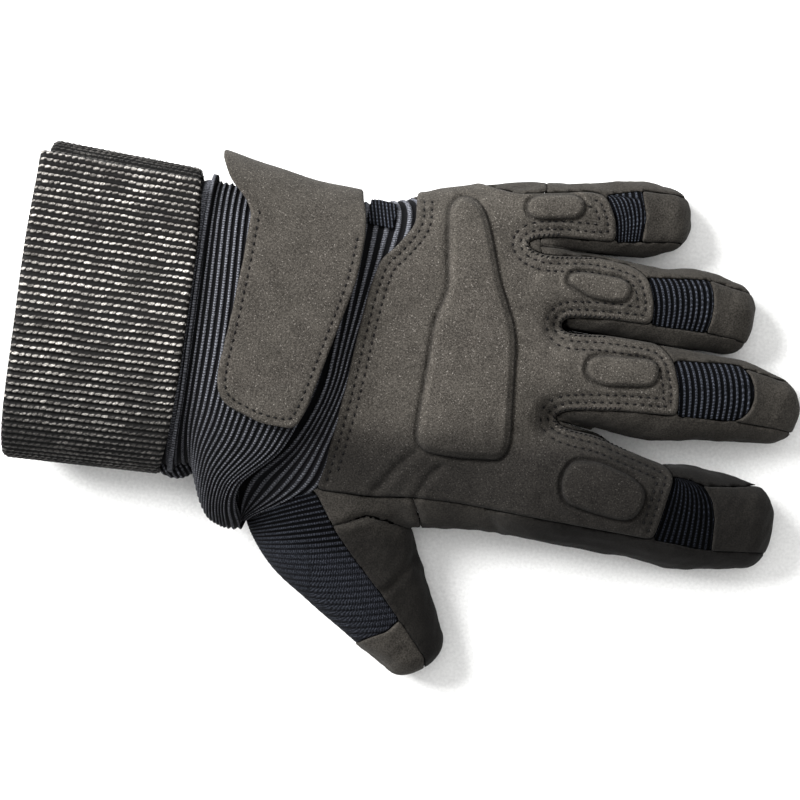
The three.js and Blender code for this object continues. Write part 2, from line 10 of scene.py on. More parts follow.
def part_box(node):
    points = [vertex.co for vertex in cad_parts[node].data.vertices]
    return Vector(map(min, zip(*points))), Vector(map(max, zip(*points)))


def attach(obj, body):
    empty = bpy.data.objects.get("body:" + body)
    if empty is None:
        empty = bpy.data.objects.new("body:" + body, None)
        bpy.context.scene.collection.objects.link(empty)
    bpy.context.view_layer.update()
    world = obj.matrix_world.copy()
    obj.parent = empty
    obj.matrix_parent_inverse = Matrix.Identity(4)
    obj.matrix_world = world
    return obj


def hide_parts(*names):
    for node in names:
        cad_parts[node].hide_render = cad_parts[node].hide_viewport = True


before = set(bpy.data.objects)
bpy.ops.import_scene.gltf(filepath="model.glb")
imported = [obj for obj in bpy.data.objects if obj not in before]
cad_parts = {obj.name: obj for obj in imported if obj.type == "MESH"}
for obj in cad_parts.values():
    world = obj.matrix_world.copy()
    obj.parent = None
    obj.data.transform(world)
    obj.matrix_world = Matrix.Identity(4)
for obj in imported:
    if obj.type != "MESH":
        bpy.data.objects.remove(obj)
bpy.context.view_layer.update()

# Everything below is in millimetres in the glove's own frame: +X from the cuff to the fingertips,
# +Y to the little finger, +Z up from the table. SHIFT carries it to the frame's origin.
BAND_CORNER = (-120.0, -35.0, 0.0)
BAND_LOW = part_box("cuff_band")[0]
SHIFT = np.array([BAND_LOW[i] * 1000 - BAND_CORNER[i] for i in range(3)])

# Driving sizes
WALL = 1.5
POWER = 2.35  # of a section's rounding: 2 is an ellipse
WIDEST_AT = 0.45  # share of a section's height at which it is widest
SEAM = 0.2  # open line between two panels
ROOT_LAP = 0.15  # how far the suede of a finger and of the palm go under each other
EDGE_ROUND = 0.7  # rounding of a cut suede edge
REACH = 6.0  # how far from a form its distance is known
BAND_THICK = 1.9
PANEL_CORNER, STRIP_CORNER = 2.5, 0.9  # rounding of the corners of large and of small panels
BLEND = {"fingers": 0.6, "webs": 1.5, "hand": 3.5, "table": 2.0}  # rounding where two forms meet
FINGER_DOME = (12, 24, 36, 48, 58, 67, 75, 82, 88)  # degrees round a finger's end at which it has rings
HAND_DOME = (15, 30, 45, 58, 70, 80, 87)
TIP_DROOP = 0.12  # how far a finger's end falls per millimetre ahead

# Sections across each finger: x, y, half width, highest point, lowest point.
# Roll is how much higher its left side is than its right, per millimetre across.
FINGERS = {
    "index": {"tip": 9.6, "roll": 0.24, "rows": [
        (24, -17, 15, 31, 5), (40, -18.6, 17.8, 37.4, 7), (54, -20, 18.4, 37, 8),
        (68, -22, 16.6, 35, 8), (80, -23.8, 15.4, 32.5, 6.5), (92, -24.4, 16.6, 29.5, 3.5),
        (104, -24.4, 15.5, 25.5, 0.5), (113, -24.4, 14.1, 22.5, -1.5)]},
    "middle": {"tip": 9.8, "roll": 0.04, "rows": [
        (26, 15.5, 12, 33, 5), (44, 15.6, 13.8, 37, 7), (62, 14.6, 14.8, 35.5, 8),
        (80, 13.6, 14.9, 32.5, 7), (95, 14.3, 13.5, 28.5, 4), (106, 14.3, 12.8, 24.5, 0.5),
        (116, 13.3, 11, 20.5, -1.5)]},
    "ring": {"tip": 9.6, "roll": 0, "rows": [
        (22, 42, 10.5, 29, 3), (40, 41.8, 12.2, 33.6, 4), (58, 41, 12.6, 32, 5),
        (75, 40.3, 12.3, 28.5, 4), (88, 41.2, 12.9, 24, 1), (98.5, 40.4, 11.4, 20.5, -1.5)]},
    "little": {"tip": 8.2, "roll": -0.08, "rows": [
        (14, 58.5, 8, 23, 3), (30, 62, 10.8, 28.8, 2), (45, 63.8, 11.2, 28, 2.5),
        (58, 65.6, 11.8, 25, 1.5), (68, 67.6, 12.2, 21.8, 0), (75.5, 68.6, 10.6, 19.5, -1.5)]},
    "thumb": {"tip": 7.2, "roll": -0.12, "rows": [
        (-25, -20, 24, 31, -2), (-19.5, -32, 27, 32, -2), (-13.6, -43, 25, 31, -2),
        (-6, -53.4, 20.2, 28.5, -2), (2.6, -63.4, 16.2, 26, -2), (9.6, -71.2, 13.4, 23, -2),
        (14.9, -77.4, 10.4, 20.5, -1.5)]},
}
# The webs that close the gaps between the fingers' roots: x, y, half width, highest and lowest point
WEBS = [
    [(38, -1, 4.5, 31, 3), (50, -1.4, 4.2, 28.5, 3), (58, -3.2, 3.6, 26, 3), (66, -6, 2.6, 23, 3)],
    [(38, 29.5, 3.5, 29, 3), (48, 29.6, 3.2, 27, 3), (58, 28.8, 2.4, 23, 3)],
    [(26, 53, 3, 25, 3), (35, 53.4, 2.8, 23, 3), (44, 54.2, 2.2, 19, 3)]]
WEB_END = 1.5
# Sections across the hand: x, low y, high y, height on the thumb's and on the little finger's side
HAND = [
    (-26, -34, 58, 36.5, 38), (-14, -36, 61, 38, 37.5), (0, -38.5, 66, 39.5, 36),
    (14, -38.6, 70.3, 41, 34), (28, -37.2, 72.6, 41, 32), (38, -36.6, 74, 40.5, 30.5)]
HAND_END = 7.5

# The knit sleeve, ring by ring: where each ring passes along X at eight places round it, its two
# sides, its heights and lowest point, and how many ribs lie between it and the band's edge.
SLEEVE_ANGLES = (0, 40, 90, 115, 135, 165, 200, 270, 360)
SLEEVE = [
    # side upper back slope corner thumb under palm | low high top_low top_high lowest ribs
    (-113, -113, -113, -113, -113, -113, -113, -113, -30, 60.4, 44, 44, 2.7, -8),
    (-70.5, -70.5, -70.5, -70.5, -70.5, -70.5, -70.5, -70.5, -30.8, 60.2, 43.4, 43, 2.7, -1.4),
    (-67.5, -67.5, -67, -67, -67.5, -68, -68, -67.5, -30.6, 60.4, 43.6, 43.2, 2.2, 0.4),
    (-63.5, -63.5, -62.5, -63, -63.5, -62.6, -62.2, -63, -29.8, 60.2, 43.8, 43.2, 1.5, 2.9),
    (-58, -58, -56.5, -57.8, -60.2, -60.2, -59.5, -58, -35, 60.1, 44.6, 43.2, 0, 5.8),
    (-52, -52, -50.5, -53, -57.3, -58, -57, -52, -40.4, 60, 45.2, 42.8, -1, 8.8),
    (-46, -46, -44.5, -48, -54.4, -55.2, -53.5, -47, -45, 60, 45.4, 42.4, -2, 11.9),
    (-40, -40, -38, -42.5, -51.3, -51.8, -50, -42, -46.9, 60, 45, 42, -2, 14.9),
    (-33, -33, -31, -36.5, -48, -48, -46, -37, -47.6, 60, 45, 41, -2, 18.2),
    (-28.6, -28.6, -26.4, -33, -45.2, -43.8, -42.8, -35, -46.8, 60, 42, 39.4, -2, 20.3),
    (-28.4, -28.2, -27.2, -34.6, -46.8, -46, -44.5, -34, -41.4, 60, 30.5, 36, -2, 21.6),
    (-22.5, -22, -22.6, -30.5, -41.8, -44.6, -43.5, -31, -44.6, 60.2, 36, 37.2, -2, 23),
    (-16, -14, -18.8, -26, -34, -43.6, -42.5, -28, -44.8, 61, 37.9, 37.4, -2, 25.3),
    (-9, -6, -15, -21, -26.5, -41.5, -41, -25, -44.6, 62.5, 38.2, 37, -2, 27.7),
    (-4.5, -1, -11, -17.5, -21.5, -39, -39, -23, -44.2, 63.8, 37, 36.4, -2, 29.2),
]
SLEEVE_MESH = {"columns": 180, "per_span": 15, "rib_depth": 0.85, "covered": 0.8}

# The small loop of the sleeve that shows under the band's corner; its shade is painted shade, for it lies under the
# band.
LOOP = {"outline": [(-74, -30.5), (-70.8, -34.4), (-64.6, -34.6), (-59.6, -30.6), (-59, -23.5),
                    (-72, -22)],
        "middle": 14, "half": 6.5, "pitch": 1.6, "depth": 0.4, "shade": 0.45}

# The closure tab: x, low y, high y, height on the thumb's and on the little finger's side
TAB = [(-76, -48.5, 68.6, 48, 48.5), (-50, -50.5, 65, 48, 46.5), (-30, -51.5, 62.4, 47.5, 44.5),
       (-10, -51.5, 61.2, 46.5, 42.5)]
TAB_THICK = 2.0
TAB_LOWEST = 10.5
TAB_OUTLINE = [
    (-65.6, 80), (-65.2, 68), (-61, 60), (-55.6, 55), (-53.2, 51), (-53.4, 36), (-54.6, 18),
    (-56.3, 1.5), (-55.6, -5), (-52.5, -9), (-41, -13), (-30.5, -13.3), (-27.6, -6.5), (-23.2, 12.3),
    (-18.3, 33.5), (-17.3, 48), (-18.3, 56), (-20.5, 62), (-20.5, 80)]
TAB_SEWN = (4, 16)  # the first and the last corner that its stitching follows
TAB_CURL = {"x": -67, "y": 60, "reach": 13, "lift": 2.4}

BAND = [(-120, -35, 68.3, 50), (-68.5, -33.6, 65.8, 48.8)]  # x, low y, high y, top
BAND_TURN = {"start": 35, "inward": 180, "under": 360, "end": 530}
BAND_GAP = 0.5
BAND_END = {"lift": 1.6, "reach": 16}  # how far the strip's outer end stands off, and over how many degrees
WEAVE = {"row": 2.38, "dash": 2.05, "depth": 0.75, "slant": 0.2, "long": 1.12, "wide": 0.5}
BAND_BOW = {"out": 0.9, "in": 4, "power": 2.5, "step": 2.2}  # how its edges run, seen from above
BAND_MESH = {"along": 690, "outside": 88, "inside": 10}

# Outlines seen from above
WRIST_EDGE = [
    (-3.9, 75), (-3.6, 62), (-2.8, 55), (-7.8, 47), (-12, 42.5), (-14.2, 33), (-15.8, 19), (-17.5, -1),
    (-19.2, -13), (-22.1, -31.2)]
THUMB_SIDE_SEAM = [(-4, -31), (7, -29.5), (22, -29.2), (42, -30.2)]
LITTLE_SIDE_SEAM = [(38, 70.8), (28, 68.9), (18, 70.6), (10, 75)]
SLITS = {
    "index_middle": [(71.8, -5), (62.9, -2.4), (52, -1.4), (49, 0.2), (48.8, 2.2), (52.4, 4.1),
                     (68.7, 6.1)],
    "middle_ring": [(60, 29), (51.7, 28), (47.6, 28.1), (46.3, 30.4), (47.9, 32.5), (53.6, 33.2),
                    (65, 33.9)],
    "ring_little": [(54, 52.8), (43, 51.3), (38, 50.9), (34, 52), (32.5, 53.8), (34.6, 55.6),
                    (42.7, 57.2)]}
STRIPS = {
    "index": {
        "flap_end": [(84.5, -8.4), (87.9, -11.6), (86.8, -17.5), (84.2, -32.3)],
        "rib_end": [(93.5, -12.2), (97.6, -13.6), (100.8, -17.6), (102.5, -23.5), (103.2, -33.4)],
        "tip": [(98.2, -13.4), (107.4, -12.4), (113.8, -11.4), (116.8, -11.2), (119.5, -8.6), (130, -5),
                (130, -33), (119.5, -32)],
        "ribs": 10},
    "middle": {
        "flap_end": [(77.5, 28.8), (82.6, 24), (85.4, 15.5), (86.2, 6.9)],
        "rib_end": [(101.8, 25.6), (105, 25.2), (107.9, 22.8), (109.5, 19.2), (109.9, 15.6), (109, 11.9),
                    (107.1, 9.4), (104.1, 7.9)],
        "rib_line": [(107, 27), (109.6, 20), (110.4, 13), (109.6, 6)],
        "tip": [(118, 22.8), (132, 22), (132, 6), (121.4, 7.2)],
        "ribs": 13},
    "ring": {
        "flap_end": [(66.1, 51.6), (71.4, 48.6), (74.2, 41), (74.6, 34)],
        "rib_end": [(91, 50.9), (92.7, 47.5), (93.4, 43), (93.2, 38), (92.3, 34.2)],
        "tip": [(100.5, 49.3), (115, 48), (115, 31), (102, 33.6)],
        "ribs": 11},
    "little": {
        "flap_end": [(50, 73), (55, 72.6), (59, 65.5), (60.1, 58.2)],
        "rib_end": [(66.3, 75.8), (68.6, 67.5), (68.2, 59.6)],
        "tip": [(76.5, 76.4), (92, 75), (92, 61.5), (80.4, 61.5)],
        "ribs": 8},
}
THUMB_SEAM = [(-21.8, -32.2), (-14.2, -43.1), (-6.7, -51.5), (2.2, -60.4), (9.4, -68.3)]
THUMB_TIP_SEAM = [(9.4, -68.3), (14.6, -74.2), (18.8, -79.2), (21, -92)]
THUMB_TIP_START = [(9.4, -68.3), (5.8, -72.6), (0.6, -75.2), (-6, -80)]
THUMB_OUTSIDE = [(-25, -80), (-60, -60), (-48, -41), (-39, -37.5), (-29, -32)]
THUMB_FAN = {"x": -62, "y": -54, "slope": 0.3, "near": 16, "far": 40, "pitch": 2.05}
LOWEST = {"hand": 14, "rib": 12, "tip": 8.5, "thumb": 9}
ROOTS = {
    "index": [(50, 0.2), (48, -25), (7.8, -25), (8.3, -29.8), (9.9, -32.7), (11.9, -38),
              (13, -60), (130, -60),
              (130, -6), (80, -4.5)],
    "middle": [(50, 0.8), (80, -3.9), (130, -5.4), (130, 27.5), (94, 27.7), (49, 29.2)],
    "ring": [(49, 29.8), (94, 28.3), (130, 28.1), (130, 56), (68, 54.6), (36.5, 53.4)],
    "little": [(36.5, 54), (68, 55.2), (130, 56.6), (130, 90), (36.5, 90)],
    "thumb": [(-70, -43), (-17.6, -42.4), (-11.6, -40.3), (-5.2, -36.9), (2.2, -38.4),
              (10, -40.2), (40, -46),
              (40, -100), (-70, -100)]}
# Creases in the suede: depth, width and path
CREASES = [
    (0.9, 1, [(-17.6, -42.4), (-11.6, -40.3), (-5.2, -36.9), (2.2, -38.4), (9.7, -39.8)]),
    (0.6, 1.1, [(1.5, -60.8), (4.3, -59.2), (7.6, -55.6), (11.5, -48.2)]),
    (0.5, 0.9, [(8.3, -29.8), (9.9, -32.7), (11.9, -38)]),
    (0.65, 1.2, [(6.9, -15.6), (3.1, -19.2), (-0.5, -24.6), (-3.6, -28.7)]),
    (0.6, 1.1, [(15.3, -18.7), (11.6, -22.9), (9.3, -28.8)]),
    (0.4, 1.2, [(30, -30.8), (33.5, -33), (36, -37)]),
    (0.5, 1.4, [(47, -24), (51, -28), (57, -31)]),
    (0.3, 1.3, [(36, 44), (40.5, 47.5), (44.5, 49)]),
]

GUARD = [
    (6.8, 62), (9.5, 66), (13.5, 66), (17.2, 63.5), (19.8, 58.5), (25.7, 40.5), (31.6, 28), (33, 22),
    (34.2, 8), (35.6, -9.5), (33.4, -14.2), (20.7, -15.3), (10, -15), (6.6, -12), (6.3, -7), (7.3, 26),
    (10, 36.5), (7.8, 52)]
PADS = {
    "index": [(55.5, -10.8), (64, -10.4), (74.5, -13.5), (79.4, -17.2), (79.2, -22.5), (76.6, -26.8),
              (72.6, -27.6), (63.5, -26.4), (54.9, -24.5), (52.6, -19.8), (53, -15)],
    "middle": [(56.3, 21.2), (60, 22.4), (76, 23.4), (78.4, 21), (78.1, 17), (76, 14.6), (61.3, 12.9),
               (56.4, 14.9), (55.3, 18)],
    "ring": [(47.6, 46.8), (52, 47.4), (63.8, 47.1), (66.9, 44.6), (65.6, 40.2), (62, 39.2),
             (54.1, 39.4), (47, 42.6), (46, 44.6)],
    "little": [(30.5, 64.6), (31.2, 67.5), (34, 69.4), (45.6, 71.3), (48.6, 69.3), (48.9, 66.4),
               (47.2, 63.6), (35.1, 61.5), (32, 62)]}
PATCH = [(-18.2, 53.2), (-9.6, 52.2), (-9, 60.5), (-17.6, 62)]

# Cells: how finely each kind of piece is made, and the blocks that bound some of them
CELL = {"back": 0.6, "palm": 0.9, "underside": 0.78, "tip": 0.62, "rib": 0.38, "thumb": 0.45,
        "guard": 0.5, "pad": 0.42, "tab": 0.62, "patch": 0.35, "loop": 0.4}
LIMITS = {"glove": ((-46, -92), (130, 84)), "back": ((-26, -36), (92, 80)), "palm": ((-46, -44), (52, 80)),
          "tip": ((-10, -92), (130, 84)), "rib": ((40, -40), (120, 84)), "thumb": ((-52, -84), (14, -28))}
STITCH = {"pitch": 2.1, "length": 1.5, "radius": 0.24, "insets": (2.6, 5.0), "tab_inset": 2.5, "sides": 6,
          # A thread's rings: place along it, girth and depth, as shares of its length and radius and in mm
          "rings": [(-0.5, 0.25, 0.5), (-0.38, 0.8, 0.22), (-0.15, 1, 0), (0.15, 1, 0), (0.38, 0.8, 0.22),
                    (0.5, 0.25, 0.5)]}
OVERLOCK = {"pitch": 1.15, "inset": 0.75, "turn": 55}  # slanted threads over the slits' edges

SUEDE = {"dark": (0.0150, 0.0134, 0.0114), "pale": (0.0565, 0.0510, 0.0440), "grain": (0.21, 0.195, 0.175),
         "shaded": (0.0012, 0.0012, 0.0014)}
# Webbing: gap_shade is painted shade between the cords, dash a painted highlight on the fibres, shaded the painted
# shade of its low side; body is its own colour.
WEBBING_COLOURS_AND_LIGHT = {"gap_shade": (0.0012, 0.001, 0.001), "body": (0.04, 0.036, 0.033), "dash": (0.72, 0.68, 0.63),
                   "shaded": (0.001, 0.001, 0.001)}
SKY = {"towards": (-0.45, 0.8, 0.4), "least": 0.05, "most": 1.2}  # the studio's bright side, and its range
CAMERA = {"height": 900.0, "focus": 25.0, "roll": 8.0}  # at the height of focus the picture is 250 mm wide


# Curves and sections

def steps(value, start, end):
    """0 before start, 1 after end, and smooth between."""
    t = np.clip((value - start) / (end - start), 0, 1)
    return t * t * (3 - 2 * t)


def wave(turns):
    """0 at each whole turn, and 1 halfway between."""
    return 0.5 - 0.5 * np.cos(2 * np.pi * turns)


def ridge(distance, width):
    """1 at a line, falling off smoothly on both sides of it."""
    return np.exp(-(distance / width) ** 2)


def circle(sides):
    return np.linspace(0, 2 * np.pi, sides, endpoint=False)


def smooth_rows(rows, per_span):
    """Rows of a table with smooth rows put between them."""
    rows = np.array(rows, float)
    made = []
    for i in range(len(rows) - 1):
        a, b = rows[max(i - 1, 0)], rows[i]
        c, d = rows[i + 1], rows[min(i + 2, len(rows) - 1)]
        slope_in, slope_out = (c - a) / 2, (d - b) / 2
        for t in np.arange(per_span) / per_span:
            made.append(b + slope_in * t + (3 * (c - b) - 2 * slope_in - slope_out) * t * t
                        + (2 * (b - c) + slope_in + slope_out) * t ** 3)
    made.append(rows[-1])
    return np.array(made)


def periodic_curve(at, knots, values):
    """A smooth closed curve through values at the knots."""
    knots, values = np.array(knots, float), np.array(values, float)
    span = knots[-1] - knots[0]
    k = np.concatenate([[knots[-2] - span], knots, [knots[1] + span]])
    v = np.concatenate([[values[-2]], values, [values[1]]])
    slope = np.zeros(len(k))
    slope[1:-1] = (v[2:] - v[:-2]) / (k[2:] - k[:-2])
    i = np.clip(np.searchsorted(knots, at, side="right") - 1, 0, len(knots) - 2) + 1
    h = k[i + 1] - k[i]
    t = (at - k[i]) / h
    return (v[i] * (1 + 2 * t) * (1 - t) ** 2 + slope[i] * h * t * (1 - t) ** 2
            + v[i + 1] * t * t * (3 - 2 * t) + slope[i + 1] * h * t * t * (t - 1))


def rounded(angle, half, top, bottom):
    """Points of a rounded section, across and up, from one side over the top."""
    widest = bottom + WIDEST_AT * (top - bottom)
    c, s = np.cos(angle), np.sin(angle)
    across = np.sign(c) * np.abs(c) ** (2 / POWER) * half
    up = np.abs(s) ** (2 / POWER) * np.where(s >= 0, top - widest, bottom - widest)
    return across, widest + up


def ring_quads(first, second):
    """Quads between closed rows of points, given by the points' numbers."""
    corners = [first, np.roll(first, -1, axis=-1), np.roll(second, -1, axis=-1), second]
    return np.stack(corners, axis=-1).reshape(-1, 4)


def loft_mesh(rings):
    """Points, quads and triangles of the closed solid through rings of points."""
    rings = np.array(rings)
    numbers = np.arange(rings[..., 0].size).reshape(rings.shape[:2])
    fans = [np.stack([end, np.roll(end, -1), np.full(len(end), numbers.size + i)], axis=-1)
            for i, end in enumerate((numbers[0][::-1], numbers[-1]))]
    points = np.vstack([rings.reshape(-1, 3), rings[[0, -1]].mean(axis=1)])
    return points, ring_quads(numbers[:-1], numbers[1:]), np.vstack(fans)


def finger_form(rows, tip, roll=0.0, sides=80, per_span=7):
    """A rounded form through sections along a path, closed by a dome."""
    rows = smooth_rows(rows, per_span)
    last, before = rows[-1], rows[-2]
    end = (last[:2] - before[:2]) / np.linalg.norm(last[:2] - before[:2])
    middle = (last[3] + last[4]) / 2
    dome = []
    for turn in np.radians(FINGER_DOME):
        share, ahead = math.cos(turn) ** 0.8, math.sin(turn) * tip
        dome.append([*(last[:2] + end * ahead), last[2] * share,
                     middle + (last[3] - middle) * share - TIP_DROOP * ahead,
                     middle + (last[4] - middle) * share])
    rows = np.vstack([rows, dome])
    angle = circle(sides)
    rings = []
    for i, (x, y, half, top, bottom) in enumerate(rows):
        along = rows[min(i + 1, len(rows) - 1), :2] - rows[max(i - 1, 0), :2]
        along = along / np.linalg.norm(along)
        across, up = rounded(angle, half, top, bottom)
        up = up + roll * steps(i, per_span, 3 * per_span) * across
        rings.append(np.stack([x - along[1] * across, y + along[0] * across, up], axis=-1))
    return loft_mesh(rings)


def body_section(row, angle, floor):
    """Points of a section across the hand, from its x, sides and heights down to a floor."""
    x, low, high, top_low, top_high = row
    top = top_low + (top_high - top_low) * (1 + np.cos(angle)) / 2
    across, up = rounded(angle, (high - low) / 2, top, floor)
    return np.stack([x + 0 * angle, (low + high) / 2 + across, up], axis=-1)


def body_form(rows, round_end=0.0, floor=-2.0, sides=160, per_span=8):
    """A broad form through sections across the hand, with its far end rounded if asked."""
    rows = smooth_rows(rows, per_span)
    if round_end:
        x, low, high, *tops = rows[-1]
        for turn in np.radians(HAND_DOME):
            share = math.cos(turn) ** 0.5
            inset, lower = round_end * (1 - share), 0.4 + 0.6 * share
            rows = np.vstack([rows, [x + math.sin(turn) * round_end, low + inset, high - inset,
                                     *(top * lower for top in tops)]])
    return loft_mesh([body_section(row, circle(sides), floor) for row in rows])


def sleeve_rings(angle, per_span):
    """Rings of the sleeve's outside, and the number of ribs up to each."""
    rows = smooth_rows(SLEEVE, per_span)
    rings = []
    for row in rows:
        along = periodic_curve(np.degrees(angle) % 360, SLEEVE_ANGLES, np.append(row[:8], row[0]))
        rings.append(body_section((along, *row[8:12]), angle, row[12]))
    return np.array(rings), rows[:, 13]


# Outlines seen from above, and their distances

def rounded_path(path, rounds=2):
    points = np.array(path, float)
    for _ in range(rounds):
        inner = np.stack([points[:-1] * 0.78 + points[1:] * 0.22,
                          points[:-1] * 0.22 + points[1:] * 0.78], axis=1)
        points = np.vstack([points[:1], inner.reshape(-1, 2), points[-1:]])
    return points


def round_outline(outline, radius):
    """A closed outline with its corners rounded."""
    points = np.array(outline, float)
    made = []
    for here, before, after in zip(points, np.roll(points, 1, axis=0), np.roll(points, -1, axis=0)):
        start, end = (here + (other - here) * min(radius / np.linalg.norm(other - here), 0.5)
                      for other in (before, after))
        for t in (0.0, 0.33, 0.67, 1.0):
            made.append((1 - t) ** 2 * start + 2 * t * (1 - t) * here + t * t * end)
    return np.array(made)


def path_distance(path, x, y):
    """Distance from a path of straight pieces."""
    points = np.array(path, np.float32)
    best = np.full(np.broadcast_shapes(x.shape, y.shape), 1e9, np.float32)
    for a, b in zip(points[:-1], points[1:]):
        edge = b - a
        t = np.clip(((x - a[0]) * edge[0] + (y - a[1]) * edge[1]) / max(edge @ edge, 1e-9), 0, 1)
        best = np.minimum(best, (x - a[0] - t * edge[0]) ** 2 + (y - a[1] - t * edge[1]) ** 2)
    return np.sqrt(best)


def sharp_field(outline, x, y):
    """Distance from a closed outline, negative inside."""
    points = np.array(outline, np.float32)
    closed = np.vstack([points, points[:1]])
    inside = np.zeros(np.broadcast_shapes(x.shape, y.shape), bool)
    for a, b in zip(closed[:-1], closed[1:]):
        rise = b[1] - a[1]
        if rise:
            inside ^= ((a[1] > y) != (b[1] > y)) & (x < a[0] + (y - a[1]) * (b[0] - a[0]) / rise)
    return np.where(inside, -1, 1) * path_distance(closed, x, y)


def outline_field(outline, x, y, corner=PANEL_CORNER):
    """The same from an outline with its corners rounded."""
    return sharp_field(round_outline(outline, corner), x, y)


def creases(x, y):
    """How deep the creases lie, with the suede raised a little beside them."""
    total = 0
    for depth, width, path in CREASES:
        far = path_distance(rounded_path(path), x, y)
        total = total + depth * (0.35 * ridge(far - 2.4 * width, 1.3 * width) - ridge(far, width))
    return total


# Fields: signed distances on blocks of cells, negative inside

class Grid:
    def __init__(self, low, high, cell):
        self.cell = cell
        self.start = tuple(math.floor(v / cell) for v in low)
        self.shape = tuple(math.ceil((h - l) / cell) + 1 for l, h in zip(low, high))
        x, y, z = [(s + np.arange(n, dtype=np.float32)) * cell for s, n in zip(self.start, self.shape)]
        self.x, self.y, self.z = x[:, None, None], y[None, :, None], z[None, None, :]
        self.flat = x[:, None], y[None, :]

    def over(self, outline, corner=PANEL_CORNER):
        """Distance from the upright prism over an outline."""
        return outline_field(outline, *self.flat, corner)[:, :, None]


FORMS = {name: finger_form(**finger) for name, finger in FINGERS.items()}
for number, web in enumerate(WEBS):
    FORMS[f"web_{number}"] = finger_form(web, WEB_END, sides=32, per_span=5)
FORMS["hand"] = body_form(HAND, round_end=HAND_END)
FORMS["tab"] = body_form(TAB)
FORMS["sleeve"] = loft_mesh(sleeve_rings(circle(160), 6)[0])
LEVEL_SETS = {}


def form_field(name, grid):
    """Distance from a form over a grid."""
    key = (name, grid.cell)
    if key not in LEVEL_SETS:
        points, quads, triangles = FORMS[name]
        LEVEL_SETS[key] = openvdb.FloatGrid.createLevelSetFromPolygons(
            points.astype(np.float32), triangles=triangles.astype(np.uint32), quads=quads.astype(np.uint32),
            transform=openvdb.createLinearTransform(grid.cell), halfWidth=REACH / grid.cell)
    dense = np.empty(grid.shape, np.float32)
    LEVEL_SETS[key].copyToArray(dense, ijk=grid.start)
    return dense


def smooth_min(a, b, k):
    h = np.clip(0.5 + 0.5 * (b - a) / k, 0, 1)
    return b + (a - b) * h - k * h * (1 - h)


def smooth_max(a, b, k):
    return -smooth_min(-a, -b, k)


def hand_field(grid, fingers=tuple(FINGERS)):
    """The whole hand's outside, flattened on the table."""
    digits = form_field(fingers[0], grid)
    for name in fingers[1:]:
        digits = smooth_min(digits, form_field(name, grid), BLEND["fingers"])
    if len(fingers) == len(FINGERS):
        for number in range(len(WEBS)):
            digits = smooth_min(digits, form_field(f"web_{number}", grid), BLEND["webs"])
    whole = smooth_min(form_field("hand", grid), digits, BLEND["hand"])
    return smooth_max(whole, -grid.z, BLEND["table"])


def soft_noise(grid, size, seed):
    """A smooth wavy field between about -1 and 1."""
    rng = np.random.default_rng(seed)
    total = 0
    for _ in range(7):
        direction = rng.normal(size=3)
        direction /= np.linalg.norm(direction)
        pitch = 2 * np.pi / (size * rng.uniform(0.7, 1.6))
        total = total + np.sin((grid.x * direction[0] + grid.y * direction[1] + grid.z * direction[2]) * pitch
                               + rng.uniform(0, 6.28))
    return total / 3.2


# Meshes

def to_frame(points):
    return (np.asarray(points) + SHIFT) / 1000


def without_crumbs(points, quads, least=300):
    """The surface without its small loose parts."""
    label = np.arange(len(points))
    while True:
        low = label[quads].min(axis=1)
        new = label.copy()
        np.minimum.at(new, quads.ravel(), np.repeat(low, 4))
        new = new[new]
        if (new == label).all():
            break
        label = new
    names, counts = np.unique(label[quads[:, 0]], return_counts=True)
    kept = quads[np.isin(label[quads[:, 0]], names[counts >= min(least, counts.max())])]
    used, kept = np.unique(kept, return_inverse=True)
    return points[used], kept.reshape(-1, 4)


def facing_out(points, quads):
    """The quads, turned round if they face into the solid."""
    a, b, c, d = (points[quads[:, i]] for i in range(4))
    volume = np.einsum("ij,ij->i", a, np.cross(b, c) + np.cross(c, d)).sum()
    return quads if volume > 0 else quads[:, ::-1]


def make_object(name, points, faces, material, attributes=None):
    mesh = bpy.data.meshes.new(name)
    points = to_frame(points)
    if isinstance(faces, np.ndarray):
        mesh.vertices.add(len(points))
        mesh.vertices.foreach_set("co", points.astype(np.float32).ravel())
        mesh.loops.add(faces.size)
        mesh.loops.foreach_set("vertex_index", faces.astype(np.int32).ravel())
        mesh.polygons.add(len(faces))
        mesh.polygons.foreach_set("loop_start", np.arange(0, faces.size, faces.shape[1], dtype=np.int32))
        mesh.update(calc_edges=True)
    else:
        mesh.from_pydata([tuple(p) for p in points], [], faces)
    for key, values in (attributes or {}).items():
        mesh.attributes.new(key, "FLOAT", "POINT").data.foreach_set("value", values.astype(np.float32))
    mesh.shade_smooth()
    mesh.validate()
    obj = bpy.data.objects.new(name, mesh)
    bpy.context.scene.collection.objects.link(obj)
    mesh.materials.append(material)
    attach(obj, "root")
    return obj


def declare(piece, node):
    """Hides the node's part, so that the piece takes its place."""
    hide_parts(node)


def solid(name, field, grid, material, measure=None):
    """The piece that a field describes. Measure gives attributes for its points."""
    padded = field.copy()
    for axis in range(3):
        edge = [slice(None)] * 3
        for side in (0, -1):
            edge[axis] = side
            padded[tuple(edge)] = np.maximum(padded[tuple(edge)], 0.2 * grid.cell)
    cells = openvdb.FloatGrid(float(2 * grid.cell))
    cells.copyFromArray(np.clip(padded, -2 * grid.cell, 2 * grid.cell).astype(np.float32), ijk=grid.start)
    cells.transform = openvdb.createLinearTransform(grid.cell)
    points, quads = cells.convertToQuads(0.0)
    points, quads = without_crumbs(points.astype(float), quads.astype(np.int64))
    return make_object(name, points, facing_out(points, quads), material, measure(points) if measure else None)


# Materials

def fill(tree, node, inputs):
    """Each input gets a number, a colour or another node's output."""
    for key, value in inputs.items():
        socket = node.inputs[key]
        if isinstance(value, bpy.types.NodeSocket):
            tree.links.new(value, socket)
        else:
            socket.default_value = (*value, 1.0) if socket.type == "RGBA" else value


def add_node(tree, kind, inputs, output=0, **settings):
    node = tree.nodes.new("ShaderNode" + kind)
    for key, value in settings.items():
        setattr(node, key, value)
    fill(tree, node, inputs)
    return node.outputs[output]


